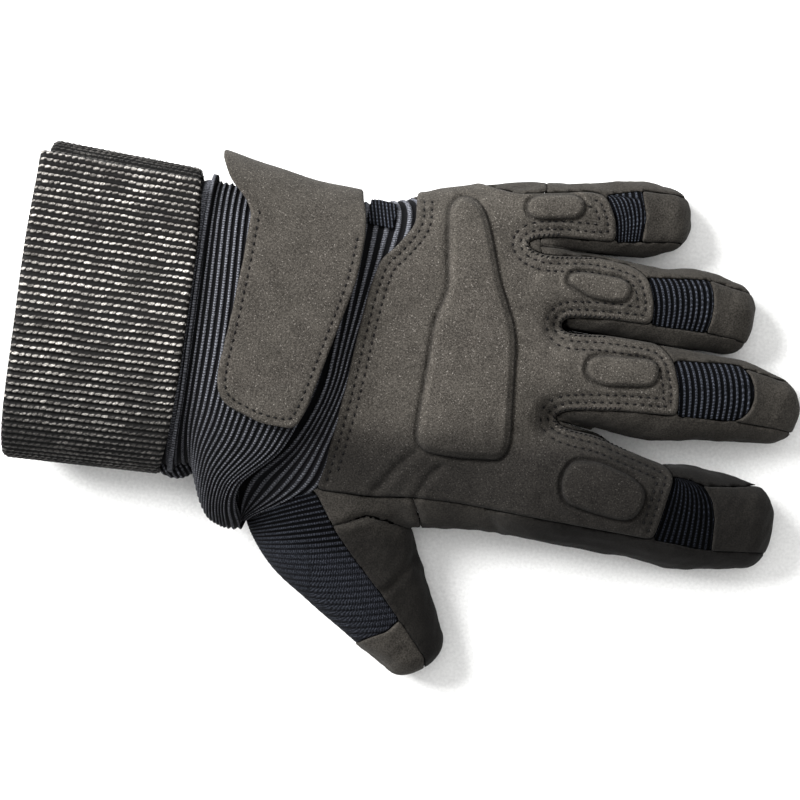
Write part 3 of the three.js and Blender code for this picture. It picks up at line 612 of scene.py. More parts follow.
def scaled(colour, share):
    return tuple(share * v for v in colour)


class Paint:
    """A material's nodes, put together by name."""

    def __init__(self, name, roughness, specular, sheen=0.0):
        self.material = bpy.data.materials.new(name)
        self.material.use_nodes = True
        self.tree = self.material.node_tree
        self.place = add_node(self.tree, "TexCoord", {}, "Object")
        self.relief = {}
        self.surface({"Roughness": roughness, "Specular IOR Level": specular, "Sheen Weight": sheen,
                      "Sheen Roughness": 0.6})

    def surface(self, inputs):
        fill(self.tree, self.tree.nodes["Principled BSDF"], inputs)

    def math(self, operation, *values):
        return add_node(self.tree, "Math", dict(enumerate(values)), operation=operation)

    def times(self, a, b, plus=0.0):
        """a * b + plus"""
        return self.math("MULTIPLY_ADD", a, b, plus)

    def noise(self, size_mm, detail=2.0, rough=0.5):
        return add_node(self.tree, "TexNoise", {
            "Vector": self.place, "Scale": 1000 / size_mm, "Detail": detail, "Roughness": rough}, "Fac")

    def attribute(self, name):
        return add_node(self.tree, "Attribute", {}, "Fac", attribute_name=name)

    def remap(self, *values):
        """A value, the range that it is taken over, and the range to bring it to, smoothly."""
        return add_node(self.tree, "MapRange", dict(enumerate(values)), interpolation_type="SMOOTHSTEP")

    def mix(self, amount, a, b):
        return add_node(self.tree, "Mix", {0: amount, 6: a, 7: b}, 2, data_type="RGBA")

    def colour(self, amount, a, b):
        self.surface({"Base Color": self.mix(amount, a, b)})

    def bump(self, height, depth_mm):
        """Relief on top of what was put on before."""
        normal = add_node(self.tree, "Bump", {
            "Strength": 1.0, "Distance": depth_mm / 1000, "Height": height, **self.relief})
        self.relief = {"Normal": normal}
        self.surface(self.relief)


def suede(name, tone, speckle=1.0):
    """Matte black suede: a mottled ground with fine pale grains, painted darker as shade where the attribute shade
    is high.
    """
    paint = Paint(name, roughness=0.95, specular=0.06, sheen=0.02)
    dark, pale, grain = (scaled(SUEDE[part], tone) for part in ("dark", "pale", "grain"))
    cloud = paint.remap(paint.noise(7.0, 3.0), 0.3, 0.7)
    fine = paint.remap(paint.noise(0.5, 2.0, 0.75), 0.34, 0.66)
    ground = paint.mix(paint.times(fine, 0.8, paint.times(cloud, 0.2)), dark, pale)
    spots = paint.remap(paint.noise(0.45, 1.0), 0.64, 0.76, 0.0, 0.6 * speckle)
    paint.colour(paint.attribute("shade"), paint.mix(spots, ground, grain), SUEDE["shaded"])
    paint.bump(paint.noise(0.5, 3.0), 0.14)
    paint.bump(paint.noise(2.6), 0.12)
    return paint.material


def knit(name, loop_mm, pale, low=-0.05):
    """Ribbed knit: rib tops painted pale as light and valleys painted dark as shade, small loops along each rib, and
    painted shade where the attribute shade is high.

    Where the attribute called even is 1 the knit is stretched, and only its loops show.
    """
    paint = Paint(name, roughness=0.95, specular=0.03, sheen=0.003)
    phase = paint.attribute("rib")
    # Painted light on the rib tops and painted shade in the valleys
    top = paint.math("COSINE", paint.times(phase, 2 * math.pi))
    top = paint.remap(top, paint.times(paint.attribute("even"), -2.0, low), 0.75)
    loop = paint.times(paint.attribute("along"), 2 * math.pi / loop_mm)
    lean = paint.math("ABSOLUTE", paint.math("SINE", paint.times(phase, math.pi)))
    loops = paint.remap(paint.math("SINE", paint.times(lean, 2.4, loop)), -0.45, 0.75)
    fuzz = paint.remap(paint.noise(0.55), 0.33, 0.68)
    light = paint.times(paint.times(top, paint.times(loops, 0.7, 0.3)), paint.times(fuzz, 0.85, 0.35))
    light = paint.times(light, paint.math("SUBTRACT", 1.0, paint.attribute("shade")))
    paint.colour(light, scaled(pale, 0.02), pale)
    paint.bump(light, 0.3)
    return paint.material


def webbing(name):
    """Coarse woven webbing: rows across its width, each of slanted dashes that carry painted highlights, with
    painted shade in the gaps and, where the attribute shade is high, over the whole weave.
    """
    paint = Paint(name, roughness=0.6, specular=0.12)
    wander = paint.math("SUBTRACT", paint.noise(9.0), 0.5)
    along = paint.times(wander, 0.5, paint.math("DIVIDE", paint.attribute("along"), WEAVE["row"]))
    row = paint.math("FLOOR", along)
    across = paint.times(row, 0.5, paint.math("DIVIDE", paint.attribute("across"), WEAVE["dash"]))
    across = paint.times(paint.math("SINE", paint.times(row, 1.7)), 0.2, across)
    across = paint.times(wander, 1.3, across)
    aside, ahead = (paint.times(paint.math("SUBTRACT", paint.math("FRACT", value), 0.5), size)
                    for value, size in ((along, WEAVE["row"]), (across, WEAVE["dash"])))
    tilted = paint.times(ahead, WEAVE["slant"], aside)
    dash = [paint.math("POWER", paint.math("ABSOLUTE", paint.math("DIVIDE", value, half)), 2.0)
            for value, half in ((ahead, WEAVE["long"]), (tilted, WEAVE["wide"]))]
    dash = paint.remap(paint.math("ADD", *dash), 1.25, 0.35)
    cell = add_node(paint.tree, "CombineXYZ", {0: paint.math("FLOOR", across), 1: row})
    chance = add_node(paint.tree, "TexWhiteNoise", {"Vector": cell}, "Value", noise_dimensions="2D")
    cloud = paint.remap(paint.noise(14.0), 0.36, 0.62, 0.4, 1.0)
    fuzz = paint.remap(paint.noise(0.6), 0.34, 0.6, 0.35, 1.0)
    light = paint.times(paint.times(dash, paint.times(chance, 0.75, 0.25)), paint.times(cloud, fuzz))
    body = paint.remap(paint.math("ABSOLUTE", tilted), 0.8, 0.1)
    body = paint.times(body, paint.remap(paint.noise(0.5), 0.35, 0.7, 0.2, 1.0))
    ground = paint.mix(body, WEBBING_COLOURS_AND_LIGHT["gap_shade"], WEBBING_COLOURS_AND_LIGHT["body"])
    lit = paint.mix(light, ground, WEBBING_COLOURS_AND_LIGHT["dash"])
    paint.colour(paint.attribute("shade"), lit, WEBBING_COLOURS_AND_LIGHT["shaded"])
    paint.bump(paint.math("ADD", dash, body), 0.35)
    return paint.material


def plain(name, colour, roughness, specular):
    paint = Paint(name, roughness, specular)
    paint.colour(paint.noise(1.0), scaled(colour, 0.7), colour)
    return paint.material


BACK_SUEDE = suede("suede_back", 1.06)
GUARD_SUEDE = suede("suede_guard", 1.15)
SIDE_SUEDE = suede("suede_side", 0.74, 0.3)
TIP_SUEDE = suede("suede_tip", 0.75, 0.35)
SLEEVE_KNIT = knit("knit_sleeve", 0.85, (0.21, 0.217, 0.246), -0.2)
FINGER_KNIT = knit("knit_finger", 1.15, (0.070, 0.078, 0.098))
# The index finger's knit is a darker copy of the fingers' knit: painted shade.
INDEX_KNIT_SHADED = knit("knit_index_shaded", 1.15, (0.014, 0.0165, 0.023))
# The thumb's knit colour is darkened by about a fifth as painted shade.
THUMB_KNIT = knit("knit_thumb", 0.8, (0.030, 0.033, 0.042))
WEBBING = webbing("webbing_band")
THREAD = plain("thread_black", (0.0025, 0.0025, 0.003), 0.6, 0.1)

# Outlines of the panels

def from_below(edge):
    return list(reversed(edge))


SEWN_EDGE = sum((from_below(strip["flap_end"]) + slit
                 for strip, slit in zip(STRIPS.values(), [*SLITS.values(), []])), [])
BACK_PANEL = WRIST_EDGE + THUMB_SIDE_SEAM + SEWN_EDGE + LITTLE_SIDE_SEAM
RIBS = {name: strip["flap_end"][1:] + from_below(strip["rib_end"]) for name, strip in STRIPS.items()}
TIPS = {name: strip["rib_end"] + from_below(strip["tip"]) for name, strip in STRIPS.items()}
THUMB_KNIT_OUTLINE = THUMB_SEAM + THUMB_TIP_START[1:] + THUMB_OUTSIDE
THUMB_TIP_OUTLINE = THUMB_TIP_SEAM + [(-6, -95)] + from_below(THUMB_TIP_START[1:])
TOPS = ([("hand", BACK_PANEL), ("thumb", THUMB_KNIT_OUTLINE), ("thumb", THUMB_TIP_OUTLINE)]
        + [("rib", outline) for outline in RIBS.values()] + [("tip", outline) for outline in TIPS.values()])


def tops_field(grid):
    """Everything that the panels of the back cover."""
    total = np.inf
    for part, outline in TOPS:
        corner = PANEL_CORNER if part == "hand" else STRIP_CORNER
        total = np.minimum(total, np.maximum(grid.over(outline, corner), LOWEST[part] - grid.z))
    return total


def offset_path(path, distance):
    """A path moved to its left, at even steps."""
    points = np.array(path, float)
    reach = np.concatenate([[0], np.cumsum(np.linalg.norm(np.diff(points, axis=0), axis=1))])
    at = np.arange(0, reach[-1], 0.5)
    even = np.stack([np.interp(at, reach, points[:, i]) for i in (0, 1)], axis=-1)
    direction = np.gradient(even, axis=0)
    direction /= np.linalg.norm(direction, axis=1)[:, None]
    for _ in range(3):
        direction[1:-1] = (direction[:-2] + direction[1:-1] + direction[2:]) / 3
    direction /= np.linalg.norm(direction, axis=1)[:, None]
    return even + np.stack([-direction[:, 1], direction[:, 0]], axis=-1) * distance


def stitch_places(path, inset, outline, pitch=STITCH["pitch"], turn=0.0):
    """Middles and directions of the stitches of a row, a distance inside an outline."""
    row = offset_path(rounded_path(path), inset)
    depth = -outline_field(outline, row[:, 0], row[:, 1])
    row = row[depth > abs(inset) - 0.35]
    middles, directions = [row[0]], [row[1] - row[0]]
    for i in range(1, len(row) - 1):
        if np.linalg.norm(row[i] - middles[-1]) >= pitch:
            middles.append(row[i])
            directions.append(row[i + 1] - row[i - 1])
    c, s = math.cos(math.radians(turn)), math.sin(math.radians(turn))
    directions = np.array(directions) @ np.array([[c, s], [-s, c]])
    return np.array(middles), directions / np.linalg.norm(directions, axis=1)[:, None]


BACK_ROWS = [stitch_places(path, inset, BACK_PANEL) for inset in STITCH["insets"]
             for path in (WRIST_EDGE[1:], SEWN_EDGE)]
TAB_ROWS = [stitch_places(TAB_OUTLINE[slice(*TAB_SEWN)], STITCH["tab_inset"], TAB_OUTLINE)]
OVERLOCK_ROWS = [stitch_places(path, OVERLOCK["inset"], BACK_PANEL, OVERLOCK["pitch"], OVERLOCK["turn"])
                 for path in SLITS.values()]


def dimples(rows, x, y):
    """How deep the stitches pull the suede down: a furrow along each row, deepest at its threads."""
    best = np.full(np.broadcast_shapes(x.shape, y.shape), 1e9, np.float32)
    furrow = best.copy()
    for middles, directions in rows:
        for (mx, my), (dx, dy) in zip(middles, directions):
            along, aside = (x - mx) * dx + (y - my) * dy, (y - my) * dx - (x - mx) * dy
            best = np.minimum(best, along ** 2 * 0.7 + aside ** 2)
            furrow = np.minimum(furrow, np.maximum(np.abs(along) - STITCH["pitch"], 0) ** 2 * 4 + aside ** 2)
    return 0.6 * np.exp(-best / 0.6 ** 2) + 0.4 * np.exp(-furrow / 0.7 ** 2)


# Painted shades: how dark a place is painted, from 0 to 1

def laid_over(*shades):
    return 1 - math.prod(1 - shade for shade in shades)


# Painted shade in the dimples that the stitches pull into the suede
def stitch_hole_shade(rows, x, y):
    return (dimples(rows, x, y) - 0.35).clip(0, 1)


def back_shade(x, y):
    """Painted shade: the back is darker towards the thumb's side and the index finger, where it turns away from the
    light.
    """
    return 0.72 * steps(0.12 * x - y, 1, 19)


def side_shade(x, y):
    """Painted shade of the suede beside and under the index finger, the thumb and the palm."""
    index = 0.12 * steps(-y, -6, 2) + 0.72 * steps(x, 5, 60) * steps(-y, 2, 6)
    return index + 0.38 * steps(-y, 38, 46) * steps(-x, -30, -20) + 0.18 * steps(30 - x, 0, 10)


# Suede panels

def panel_grid(outline, low_z, high_z, cell, margin=2.5, limits=None):
    points = np.array(outline)
    low, high = points.min(axis=0) - margin, points.max(axis=0) + margin
    if limits:
        low, high = np.maximum(low, limits[0]), np.minimum(high, limits[1])
    return Grid((*low, low_z), (*high, high_z), cell)


def panel_field(outer, base, sides, lowest, grid, edge_round, wall_round):
    """A panel one wall thick under its outer face, ending half a seam before its sides."""
    sides = np.maximum(sides + SEAM / 2, lowest + SEAM - grid.z)
    return smooth_max(smooth_max(outer, sides, edge_round), -(base + WALL), wall_round)


def back_relief(x, y):
    """How far the back stands out: grooves round the padding, creases, stitching and a raised edge."""
    guard = outline_field(GUARD, x, y)
    relief = 0.2 * ridge(guard - 2.4, 1.4) - 0.75 * ridge(guard - 0.3, 0.42) + creases(x, y)
    for outline in PADS.values():
        pad = outline_field(outline, x, y)
        relief += 0.4 * ridge(pad - 1.7, 0.65) - 0.85 * ridge(pad - 0.35, 0.45)
    return relief - 0.5 * dimples(BACK_ROWS, x, y) + 0.3 * ridge(outline_field(BACK_PANEL, x, y) + 1.0, 1.0)


def back_marks(points):
    """Painted shade of the back: darker towards the thumb's side and the index finger, in the grooves round the
    padding, in the stitch holes and along its edge.
    """
    x, y, _ = points.T
    hole_and_groove_shade = stitch_hole_shade(BACK_ROWS, x, y)
    # Painted shade in the grooves round the padding
    for outline in (GUARD, *PADS.values()):
        hole_and_groove_shade = np.maximum(hole_and_groove_shade, 0.55 * ridge(outline_field(outline, x, y) - 0.1, 0.32))
    # Painted shade along the panel's cut edge
    edge_shade = 0.35 * steps(-np.abs(outline_field(BACK_PANEL, x, y)), -0.6, 0.1)
    return {"shade": laid_over(back_shade(x, y), hole_and_groove_shade, edge_shade)}


def back_piece():
    grid = panel_grid(BACK_PANEL, 10, 48, CELL["back"], limits=LIMITS["back"])
    base = hand_field(grid)
    waves = 0.22 * soft_noise(grid, 16, 3) + 0.1 * soft_noise(grid, 6, 4)
    outer = base - 0.55 - back_relief(*grid.flat)[:, :, None] - waves
    field = panel_field(outer, base, grid.over(BACK_PANEL), LOWEST["hand"], grid, EDGE_ROUND, 0.4)
    piece = solid("back_panel_suede", field, grid, BACK_SUEDE, back_marks)
    declare(piece, "back_panel")
    return piece


def raised_piece(node, outline, rise, slope, cell):
    """Padding under suede: a short upright edge, a bevel and a slightly crowned top."""
    grid = panel_grid(outline, 18, 48, cell, margin=1.5)
    flat, base = grid.over(outline), hand_field(grid)
    bevel, crown = steps(-flat, 0.2, slope), steps(-flat, slope, 4 * slope)
    outer = base - 0.4 - rise * (0.5 + 0.5 * bevel + 0.08 * crown) - 0.08 * soft_noise(grid, 7, 11)
    field = smooth_max(smooth_max(outer, flat + 0.1, 0.35), -(base - 0.6), 0.3)

    def marks(points):
        x, y, _ = points.T
        # Painted shade: the back's darkening, and a dark line round the padding's edge
        return {"shade": laid_over(back_shade(x, y), 0.6 * ridge(outline_field(outline, x, y), 0.4))}

    piece = solid(f"{node}_suede", field, grid, GUARD_SUEDE, marks)
    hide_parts(node)


def side_waves(grid):
    """How far the suede of the sides and of the caps stands out of true."""
    return (0.35 * soft_noise(grid, 14, 21) + 0.14 * soft_noise(grid, 5, 22)) * steps(grid.z, 0.5, 5)


def underside(piece_name, node, name, cell, cut):
    """The suede under and beside the fingers: what the panels of the back leave."""
    points = np.array(ROOTS.get(name, LIMITS["palm"]))
    low = np.maximum(points.min(axis=0) - 1, LIMITS["glove"][0])
    high = np.minimum(points.max(axis=0) + 1, LIMITS["glove"][1])
    if name in STRIPS:
        rows = np.array(FINGERS[name]["rows"])
        low[1] = max(low[1], (rows[:, 1] - rows[:, 2]).min() - 6)
        high[1] = min(high[1], (rows[:, 1] + rows[:, 2]).max() + 6)
    grid = Grid((*low, -1.5), (*high, 44), cell)
    base = hand_field(grid)
    folds = creases(*grid.flat)[:, :, None] * steps(grid.z, 8, 18)
    outer = base - np.maximum(side_waves(grid) + folds, -0.6 * WALL)
    field = smooth_max(smooth_max(outer, -(base + WALL), 0.4), -tops_field(grid), 0.35)
    field = np.maximum(field, -(form_field("sleeve", grid) - SEAM))
    piece = solid(piece_name, smooth_max(field, cut(grid), 0.5), grid, SIDE_SUEDE,
                  lambda points: {"shade": side_shade(points[:, 0], points[:, 1])})
    declare(piece, node)


def root_field(name, grid):
    """What a finger's underside takes, without its lap."""
    return sharp_field(ROOTS[name], *grid.flat)[:, :, None]


def palm_cut(grid):
    """The palm is what no finger takes, and it stays out from under the wrist's knit."""
    knit_side = [(-60, 75)] + WRIST_EDGE + [(-60, -31.2)]
    field = -np.maximum(sharp_field(knit_side, *grid.flat)[:, :, None], LOWEST["hand"] - grid.z)
    for name in ROOTS:
        field = np.maximum(field, -ROOT_LAP - root_field(name, grid))
    return field


def tip_piece(name, outline, hem, lowest, hem_rise=0.45, shade=0.0):
    """A suede cap, with a raised hem over the knit."""
    grid = panel_grid(outline, lowest - 2, 32, CELL["tip"], limits=LIMITS["tip"])
    base = hand_field(grid)
    hem_rise = hem_rise * ridge(path_distance(hem, *grid.flat), 2.0)[:, :, None]
    outer = base - 0.02 - hem_rise - side_waves(grid)
    field = panel_field(outer, base, grid.over(outline, STRIP_CORNER), lowest, grid, 0.4, 0.4)
    piece = solid(f"{name}_tip_suede", field, grid, TIP_SUEDE, lambda points: {"shade": np.full(len(points), shade)})
    declare(piece, f"{name}_tip")


# Knit

def knit_panel(name, node, outline, part, phase, depth, material, even=lambda x, y: 0 * y):
    """A ribbed panel. Phase counts its ribs over x and y, and even says where they are stretched flat."""
    grid = panel_grid(outline, LOWEST[part] - 2, 40, CELL[part], limits=LIMITS[part])
    base = hand_field(grid, fingers=(name,))
    top = 1 - wave(phase(*grid.flat))
    sunk = depth * (1 - top ** 0.7) * (1 - 0.9 * even(*grid.flat))
    field = panel_field(base + 0.3 + sunk[:, :, None], base, grid.over(outline, STRIP_CORNER), LOWEST[part],
                        grid, 0.3, 0.3)
    if part == "thumb":
        field = np.maximum(field, -(form_field("sleeve", grid) - SEAM))

    def marks(points):
        x, y, z = points.T
        slope = np.stack([phase(x + 0.1, y) - phase(x - 0.1, y), phase(x, y + 0.1) - phase(x, y - 0.1)])
        slope /= np.linalg.norm(slope, axis=0)
        middle = points.mean(axis=0)
        along = (y - middle[1]) * slope[0] - (x - middle[0]) * slope[1]
        return {"rib": phase(x, y), "along": along - 0.8 * z * np.sign(along), "even": even(x, y)}

    declare(solid(f"{node}_knit", field, grid, material, marks), node)


def between(first, last, count):
    """A rib count that runs from one line across a finger to another, each given from high Y to low Y."""
    first, last = (rounded_path(path, 3)[::-1] for path in (first, last))

    def phase(x, y):
        near, far = (np.interp(y, path[:, 1], path[:, 0]) for path in (first, last))
        return (x - near) / (far - near) * count
    return phase


def thumb_fan(x, y):
    """The thumb's ribs fan out from the fold beside the band."""
    reach = x - THUMB_FAN["x"]
    aside = y - THUMB_FAN["y"] - THUMB_FAN["slope"] * reach
    spread = np.clip(reach, THUMB_FAN["near"], None)
    spread = spread / (1 + (spread / THUMB_FAN["far"]) ** 4) ** 0.25
    return aside * THUMB_FAN["far"] / spread / THUMB_FAN["pitch"]


def sleeve_piece():
    """The sleeve: ribbed rings outside, smooth ones inside, joined at both ends."""
    columns, per_span = SLEEVE_MESH["columns"], SLEEVE_MESH["per_span"]
    rings, ribs = sleeve_rings(circle(columns), per_span)
    # Under the band one ring in four is enough
    keep = np.concatenate([np.arange(0, per_span, 4), np.arange(per_span, len(rings))])
    rings, ribs = rings[keep], ribs[keep]
    normal = np.cross(np.roll(rings, -1, axis=1) - np.roll(rings, 1, axis=1), np.gradient(rings, axis=0))
    normal /= np.linalg.norm(normal, axis=2, keepdims=True) + 1e-9
    normal *= np.sign((normal * (rings - rings.mean(axis=1, keepdims=True))).sum(axis=2).mean())
    depth = SLEEVE_MESH["rib_depth"] * wave(ribs) ** 0.8 * steps(ribs, -4, -2)
    # The sleeve runs on under the back panel's edge
    covered = steps(-sharp_field(BACK_PANEL, rings[:, :, 0], rings[:, :, 1]), 0.3, 1.5)
    covered = SLEEVE_MESH["covered"] * covered * (rings[:, :, 2] > LOWEST["hand"])
    outside = rings - normal * (depth[:, None] + covered)[:, :, None]
    inside = rings - normal * (WALL + 0.25)
    outside[:, :, 2] = np.maximum(outside[:, :, 2], 0.0)
    inside[:, :, 2] = np.maximum(inside[:, :, 2], WALL)
    points = np.stack([outside, inside])
    outer, inner = np.arange(points[..., 0].size).reshape(points.shape[:3])
    points = points.reshape(-1, 3)
    quads = np.vstack([ring_quads(outer[:-1], outer[1:]), ring_quads(inner[:-1], inner[1:])[:, ::-1],
                       ring_quads(inner[0], outer[0]), ring_quads(outer[-1], inner[-1])])
    step = np.linalg.norm(np.roll(rings, -1, axis=1) - rings, axis=2)
    # Painted shade: the sleeve is painted darker towards its low Y side, which faces away from the light.
    marks = {"rib": np.repeat(ribs, columns), "along": np.cumsum(step, axis=1).ravel(),
             "shade": 0.6 * steps(-rings[:, :, 1].ravel(), -4, 24)}
    piece = make_object("wrist_sleeve_knit", points, facing_out(points, quads), SLEEVE_KNIT,
                        {key: np.tile(values, 2) for key, values in marks.items()})
    declare(piece, "wrist_sleeve")


def loop_piece():
    """The small loop of the sleeve under the band's corner."""
    grid = panel_grid(LOOP["outline"], LOOP["middle"] - 9, LOOP["middle"] + 9, CELL["loop"])
    field = smooth_max(grid.over(LOOP["outline"]), np.abs(grid.z - LOOP["middle"]) - LOOP["half"], 5.0)
    field = field + LOOP["depth"] * wave((0.8 * grid.x + 0.6 * grid.y) / LOOP["pitch"])

    def marks(points):
        x, y, z = points.T
        return {"rib": (0.8 * x + 0.6 * y) / LOOP["pitch"], "along": 0.6 * x - 0.8 * y + z,
                "shade": np.full(len(points), LOOP["shade"])}

    piece = solid("wrist_sleeve_loop_knit", field, grid, SLEEVE_KNIT, marks)
    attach(piece, "root")


def gather_turns(x, y):
    return (x + 0.25 * y) / 1.15


def gather_piece():
    """The gathered patch beside the tab."""
    grid = panel_grid(PATCH, 20, 42, CELL["patch"])
    form = form_field("sleeve", grid)
    outer = form - 1.3 + 0.4 * wave(gather_turns(grid.x, grid.y))
    field = smooth_max(outer, sharp_field(PATCH, *grid.flat)[:, :, None], 0.4)
    piece = solid("wrist_gather_knit", smooth_max(field, -(form - 0.3), 0.2), grid, FINGER_KNIT,
                  lambda points: {"rib": gather_turns(points[:, 0], points[:, 1]), "along": points[:, 1]})
    declare(piece, "wrist_gather")


# Tab and band

def tab_piece():
    """The closure tab over the wrist. Its underside and its needle holes are painted dark as shade."""
    grid = Grid((-70, -16, 8), (-14, 74, 56), CELL["tab"])
    x, y = grid.flat
    near = ridge(np.hypot(x - TAB_CURL["x"], y - TAB_CURL["y"]), TAB_CURL["reach"])
    depth = form_field("tab", grid) - TAB_CURL["lift"] * near[:, :, None]
    upper = depth - TAB_THICK + 0.35 * dimples(TAB_ROWS, x, y)[:, :, None] - 0.2 * soft_noise(grid, 18, 41)
    sides = np.maximum(grid.over(TAB_OUTLINE), TAB_LOWEST - grid.z)

    def marks(points):
        cell = tuple(np.clip(np.rint(points[:, i] / grid.cell).astype(int) - grid.start[i], 0, grid.shape[i] - 1)
                     for i in range(3))
        # Painted shade on the tab's underside
        underside_shade = 1 - steps(depth[cell], 0.45 * TAB_THICK, 0.75 * TAB_THICK)
        return {"shade": laid_over(underside_shade, stitch_hole_shade(TAB_ROWS, points[:, 0], points[:, 1]))}

    field = smooth_max(smooth_max(upper, -depth, 0.5), sides, 0.8)
    piece = solid("closure_tab_suede", field, grid, BACK_SUEDE, marks)
    declare(piece, "closure_tab")
    return piece


def band_edges(turn, layer):
    """The strip's two edges as they go round the wrist, each outside and inside."""
    for x, low, high, top in BAND:
        for depth in (layer, layer + BAND_THICK):
            across, up = rounded(turn, (high - low) / 2 - depth, top - depth, depth - layer - 2)
            yield np.stack([x + 0 * turn, (low + high) / 2 + across, np.maximum(up, depth - layer)], axis=-1)


def band_piece():
    """The webbing strip: its outside is woven, its inside plain."""
    degrees = np.linspace(BAND_TURN["start"], BAND_TURN["end"], BAND_MESH["along"])
    turn = np.radians(degrees)
    under = steps(degrees, BAND_TURN["inward"], BAND_TURN["under"])
    lifted = 1 - steps(degrees, BAND_TURN["start"], BAND_TURN["start"] + BAND_END["reach"])
    layer = under * (BAND_THICK + BAND_GAP) - BAND_END["lift"] * lifted
    outer_left, inner_left, outer_right, inner_right = band_edges(turn, layer)
    for left, right in ((outer_left, outer_right), (inner_left, inner_right)):
        left[:, 0] += BAND_BOW["step"] * under
        right[:, 0] += BAND_BOW["out"] - BAND_BOW["in"] * np.abs(np.cos(turn)) ** BAND_BOW["power"]
    length = np.concatenate([[0], np.cumsum(np.linalg.norm(np.diff(outer_left, axis=0), axis=1))])
    outward = outer_left - inner_left
    outward /= np.linalg.norm(outward, axis=1)[:, None]
    wander = 0.24 * np.sin(length / 23) + 0.144 * np.sin(length / 9 + 1)

    def strip(left, right, share):
        """Points from one edge to the other, which both wander a little."""
        points = left[:, None] * (1 - share[None, :, None]) + right[:, None] * share[None, :, None]
        points[:, :, 0] += wander[:, None] * (1 - 2 * share)
        return points

    share, back = np.linspace(0, 1, BAND_MESH["outside"]), np.linspace(1, 0, BAND_MESH["inside"])
    across = np.concatenate([share, back]) * (BAND[1][0] - BAND[0][0])
    rows = length[:, None] / WEAVE["row"]
    dash = wave(across[:len(share)] / WEAVE["dash"] + 0.5 * np.floor(rows))
    selvage = np.minimum(steps(share, 0, 0.025), steps(1 - share, 0, 0.025))
    sink = WEAVE["depth"] * (1 - wave(rows) * (0.6 + 0.4 * dash)) + 0.5 * (1 - selvage)
    outward = outward[:, None]
    ring = np.concatenate([strip(outer_left, outer_right, share) - outward * sink[:, :, None],
                           strip(inner_left, inner_right, back) + 0.15 * outward], axis=1)
    points, quads, _ = loft_mesh(ring)
    points, sides = points[:-2], ring.shape[1]
    ends = [list(range(sides)), [len(points) - sides + i for i in reversed(range(sides))]]
    # Painted shade: the strip's rows are painted darker as it turns down its low Y side.
    marks = {"along": np.repeat(length, sides), "across": np.tile(across, len(turn)),
             "shade": np.repeat(0.85 * steps(degrees, 94, 152), sides)}
    piece = make_object("cuff_band_webbing", points, facing_out(points, quads).tolist() + ends, WEBBING, marks)
    declare(piece, "cuff_band")


def stitches(name, rows, carrier):
    """Short threads lying on a piece, their ends sunk in it."""
    tree = BVHTree.FromObject(carrier, bpy.context.evaluated_depsgraph_get())
    turn = circle(STITCH["sides"])[:, None]
    numbers = np.arange(len(STITCH["rings"]) * len(turn)).reshape(-1, len(turn))
    thread = (ring_quads(numbers[:-1], numbers[1:]).tolist()
              + [numbers[0][::-1].tolist(), numbers[-1].tolist()])
    points, faces = [], []
    for (mx, my), (dx, dy) in [place for row in rows for place in zip(*row)]:
        hit, normal, _, _ = tree.ray_cast(Vector(to_frame((mx, my, 90))), Vector((0, 0, -1)))
        if hit is None:
            continue
        normal = np.array(normal)
        middle = np.array(hit) * 1000 - SHIFT + normal * (STITCH["radius"] * 0.55)
        lengthwise = np.array([dx, dy, 0.0])
        lengthwise -= normal * (lengthwise @ normal)
        lengthwise /= np.linalg.norm(lengthwise)
        girth = STITCH["radius"] * (np.cos(turn) * np.cross(normal, lengthwise) + np.sin(turn) * normal)
        faces += [[len(points) * len(turn) + k for k in face] for face in thread]
        points += [middle + lengthwise * along * STITCH["length"] - normal * sink + girth * share
                   for along, share, sink in STITCH["rings"]]
    make_object(name, np.vstack(points), faces, THREAD)


# The glove

back_panel = back_piece()
raised_piece("hand_guard", GUARD, 2.6, 2.3, CELL["guard"])
for name, outline in PADS.items():
    raised_piece(f"{name}_pad", outline, 1.9, 1.3, CELL["pad"])
for name in ROOTS:
    underside(f"{name}_underside_suede", f"{name}_underside", name, CELL["underside"],
              lambda grid: root_field(name, grid) - ROOT_LAP)
underside("palm_suede", "palm_panel", "palm", CELL["palm"], palm_cut)
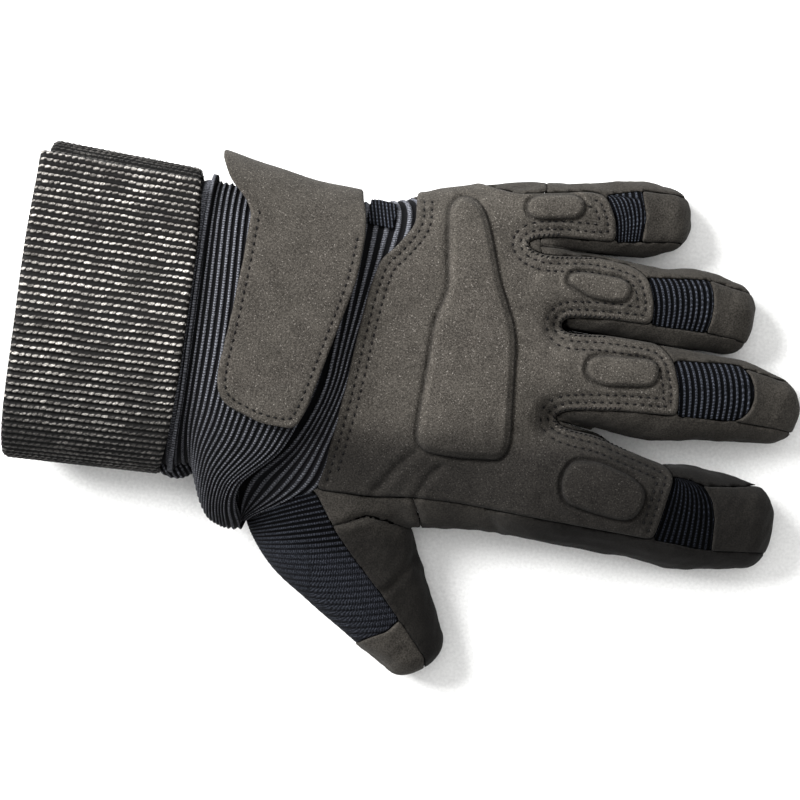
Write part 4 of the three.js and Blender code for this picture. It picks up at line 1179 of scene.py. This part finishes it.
# The index finger's cap gets painted shade, for it faces away from the light.
for name, strip in STRIPS.items():
    tip_piece(name, TIPS[name], strip["rib_end"], LOWEST["tip"], shade=0.7 if name == "index" else 0.0)
tip_piece("thumb", THUMB_TIP_OUTLINE, THUMB_TIP_START, LOWEST["thumb"], hem_rise=0.1)
for name, strip in STRIPS.items():
    ribs = between(strip["flap_end"], strip.get("rib_line", strip["rib_end"]), strip["ribs"])
    knit_panel(name, f"{name}_knuckle_rib", RIBS[name], "rib", ribs, 0.5,
               INDEX_KNIT_SHADED if name == "index" else FINGER_KNIT)
knit_panel("thumb", "thumb_back_knit", THUMB_KNIT_OUTLINE, "thumb", thumb_fan, 0.45, THUMB_KNIT,
           even=lambda x, y: 0.9 * steps(-y, 42, 54))
sleeve_piece()
tab = tab_piece()
loop_piece()
gather_piece()
band_piece()
stitches("back_panel_stitches", BACK_ROWS + OVERLOCK_ROWS, back_panel)
stitches("closure_tab_stitches", TAB_ROWS, tab)

# Floor, light and camera
bpy.ops.mesh.primitive_plane_add(size=6, location=(0, 0, -0.0002))
floor = bpy.context.object
floor.name = "floor"
floor.data.materials.append(plain("floor_white", (0.95, 0.95, 0.94), 0.9, 0.1))
scene = bpy.context.scene
scene.view_settings.view_transform = "Standard"

scene.world = bpy.data.worlds.new("studio")
scene.world.use_nodes = True
sky = scene.world.node_tree
place = add_node(sky, "TexCoord", {}, "Generated")
slope = add_node(sky, "VectorMath", {0: place, 1: SKY["towards"]}, "Value", operation="DOT_PRODUCT")
strength = add_node(sky, "MapRange", dict(enumerate((slope, -1.0, 1.0, SKY["least"], SKY["most"]))))
fill(sky, sky.nodes["Background"], {"Color": (1, 1, 1), "Strength": strength})


def area_light(name, place, size, power):
    """A round light that shines at the frame's origin."""
    light = bpy.data.lights.new(name, "AREA")
    light.shape = "DISK"
    light.size = size
    light.energy = power
    lamp = bpy.data.objects.new(name, light)
    scene.collection.objects.link(lamp)
    lamp.location = place
    lamp.rotation_euler = (-Vector(place)).to_track_quat("-Z", "Y").to_euler()


area_light("key", (-1.05, 0.5, 0.9), 0.9, 60)
area_light("fill", (0.1, 0.1, 1.6), 1.2, 8)

camera_data = bpy.data.cameras.new("camera")
camera_data.angle = 2 * math.atan(125.0 / CAMERA["height"])
camera = bpy.data.objects.new("camera", camera_data)
scene.collection.objects.link(camera)
camera.location = to_frame((0, 0, CAMERA["focus"] + CAMERA["height"]))
camera.rotation_euler = (0, 0, math.radians(CAMERA["roll"]))
scene.camera = camera
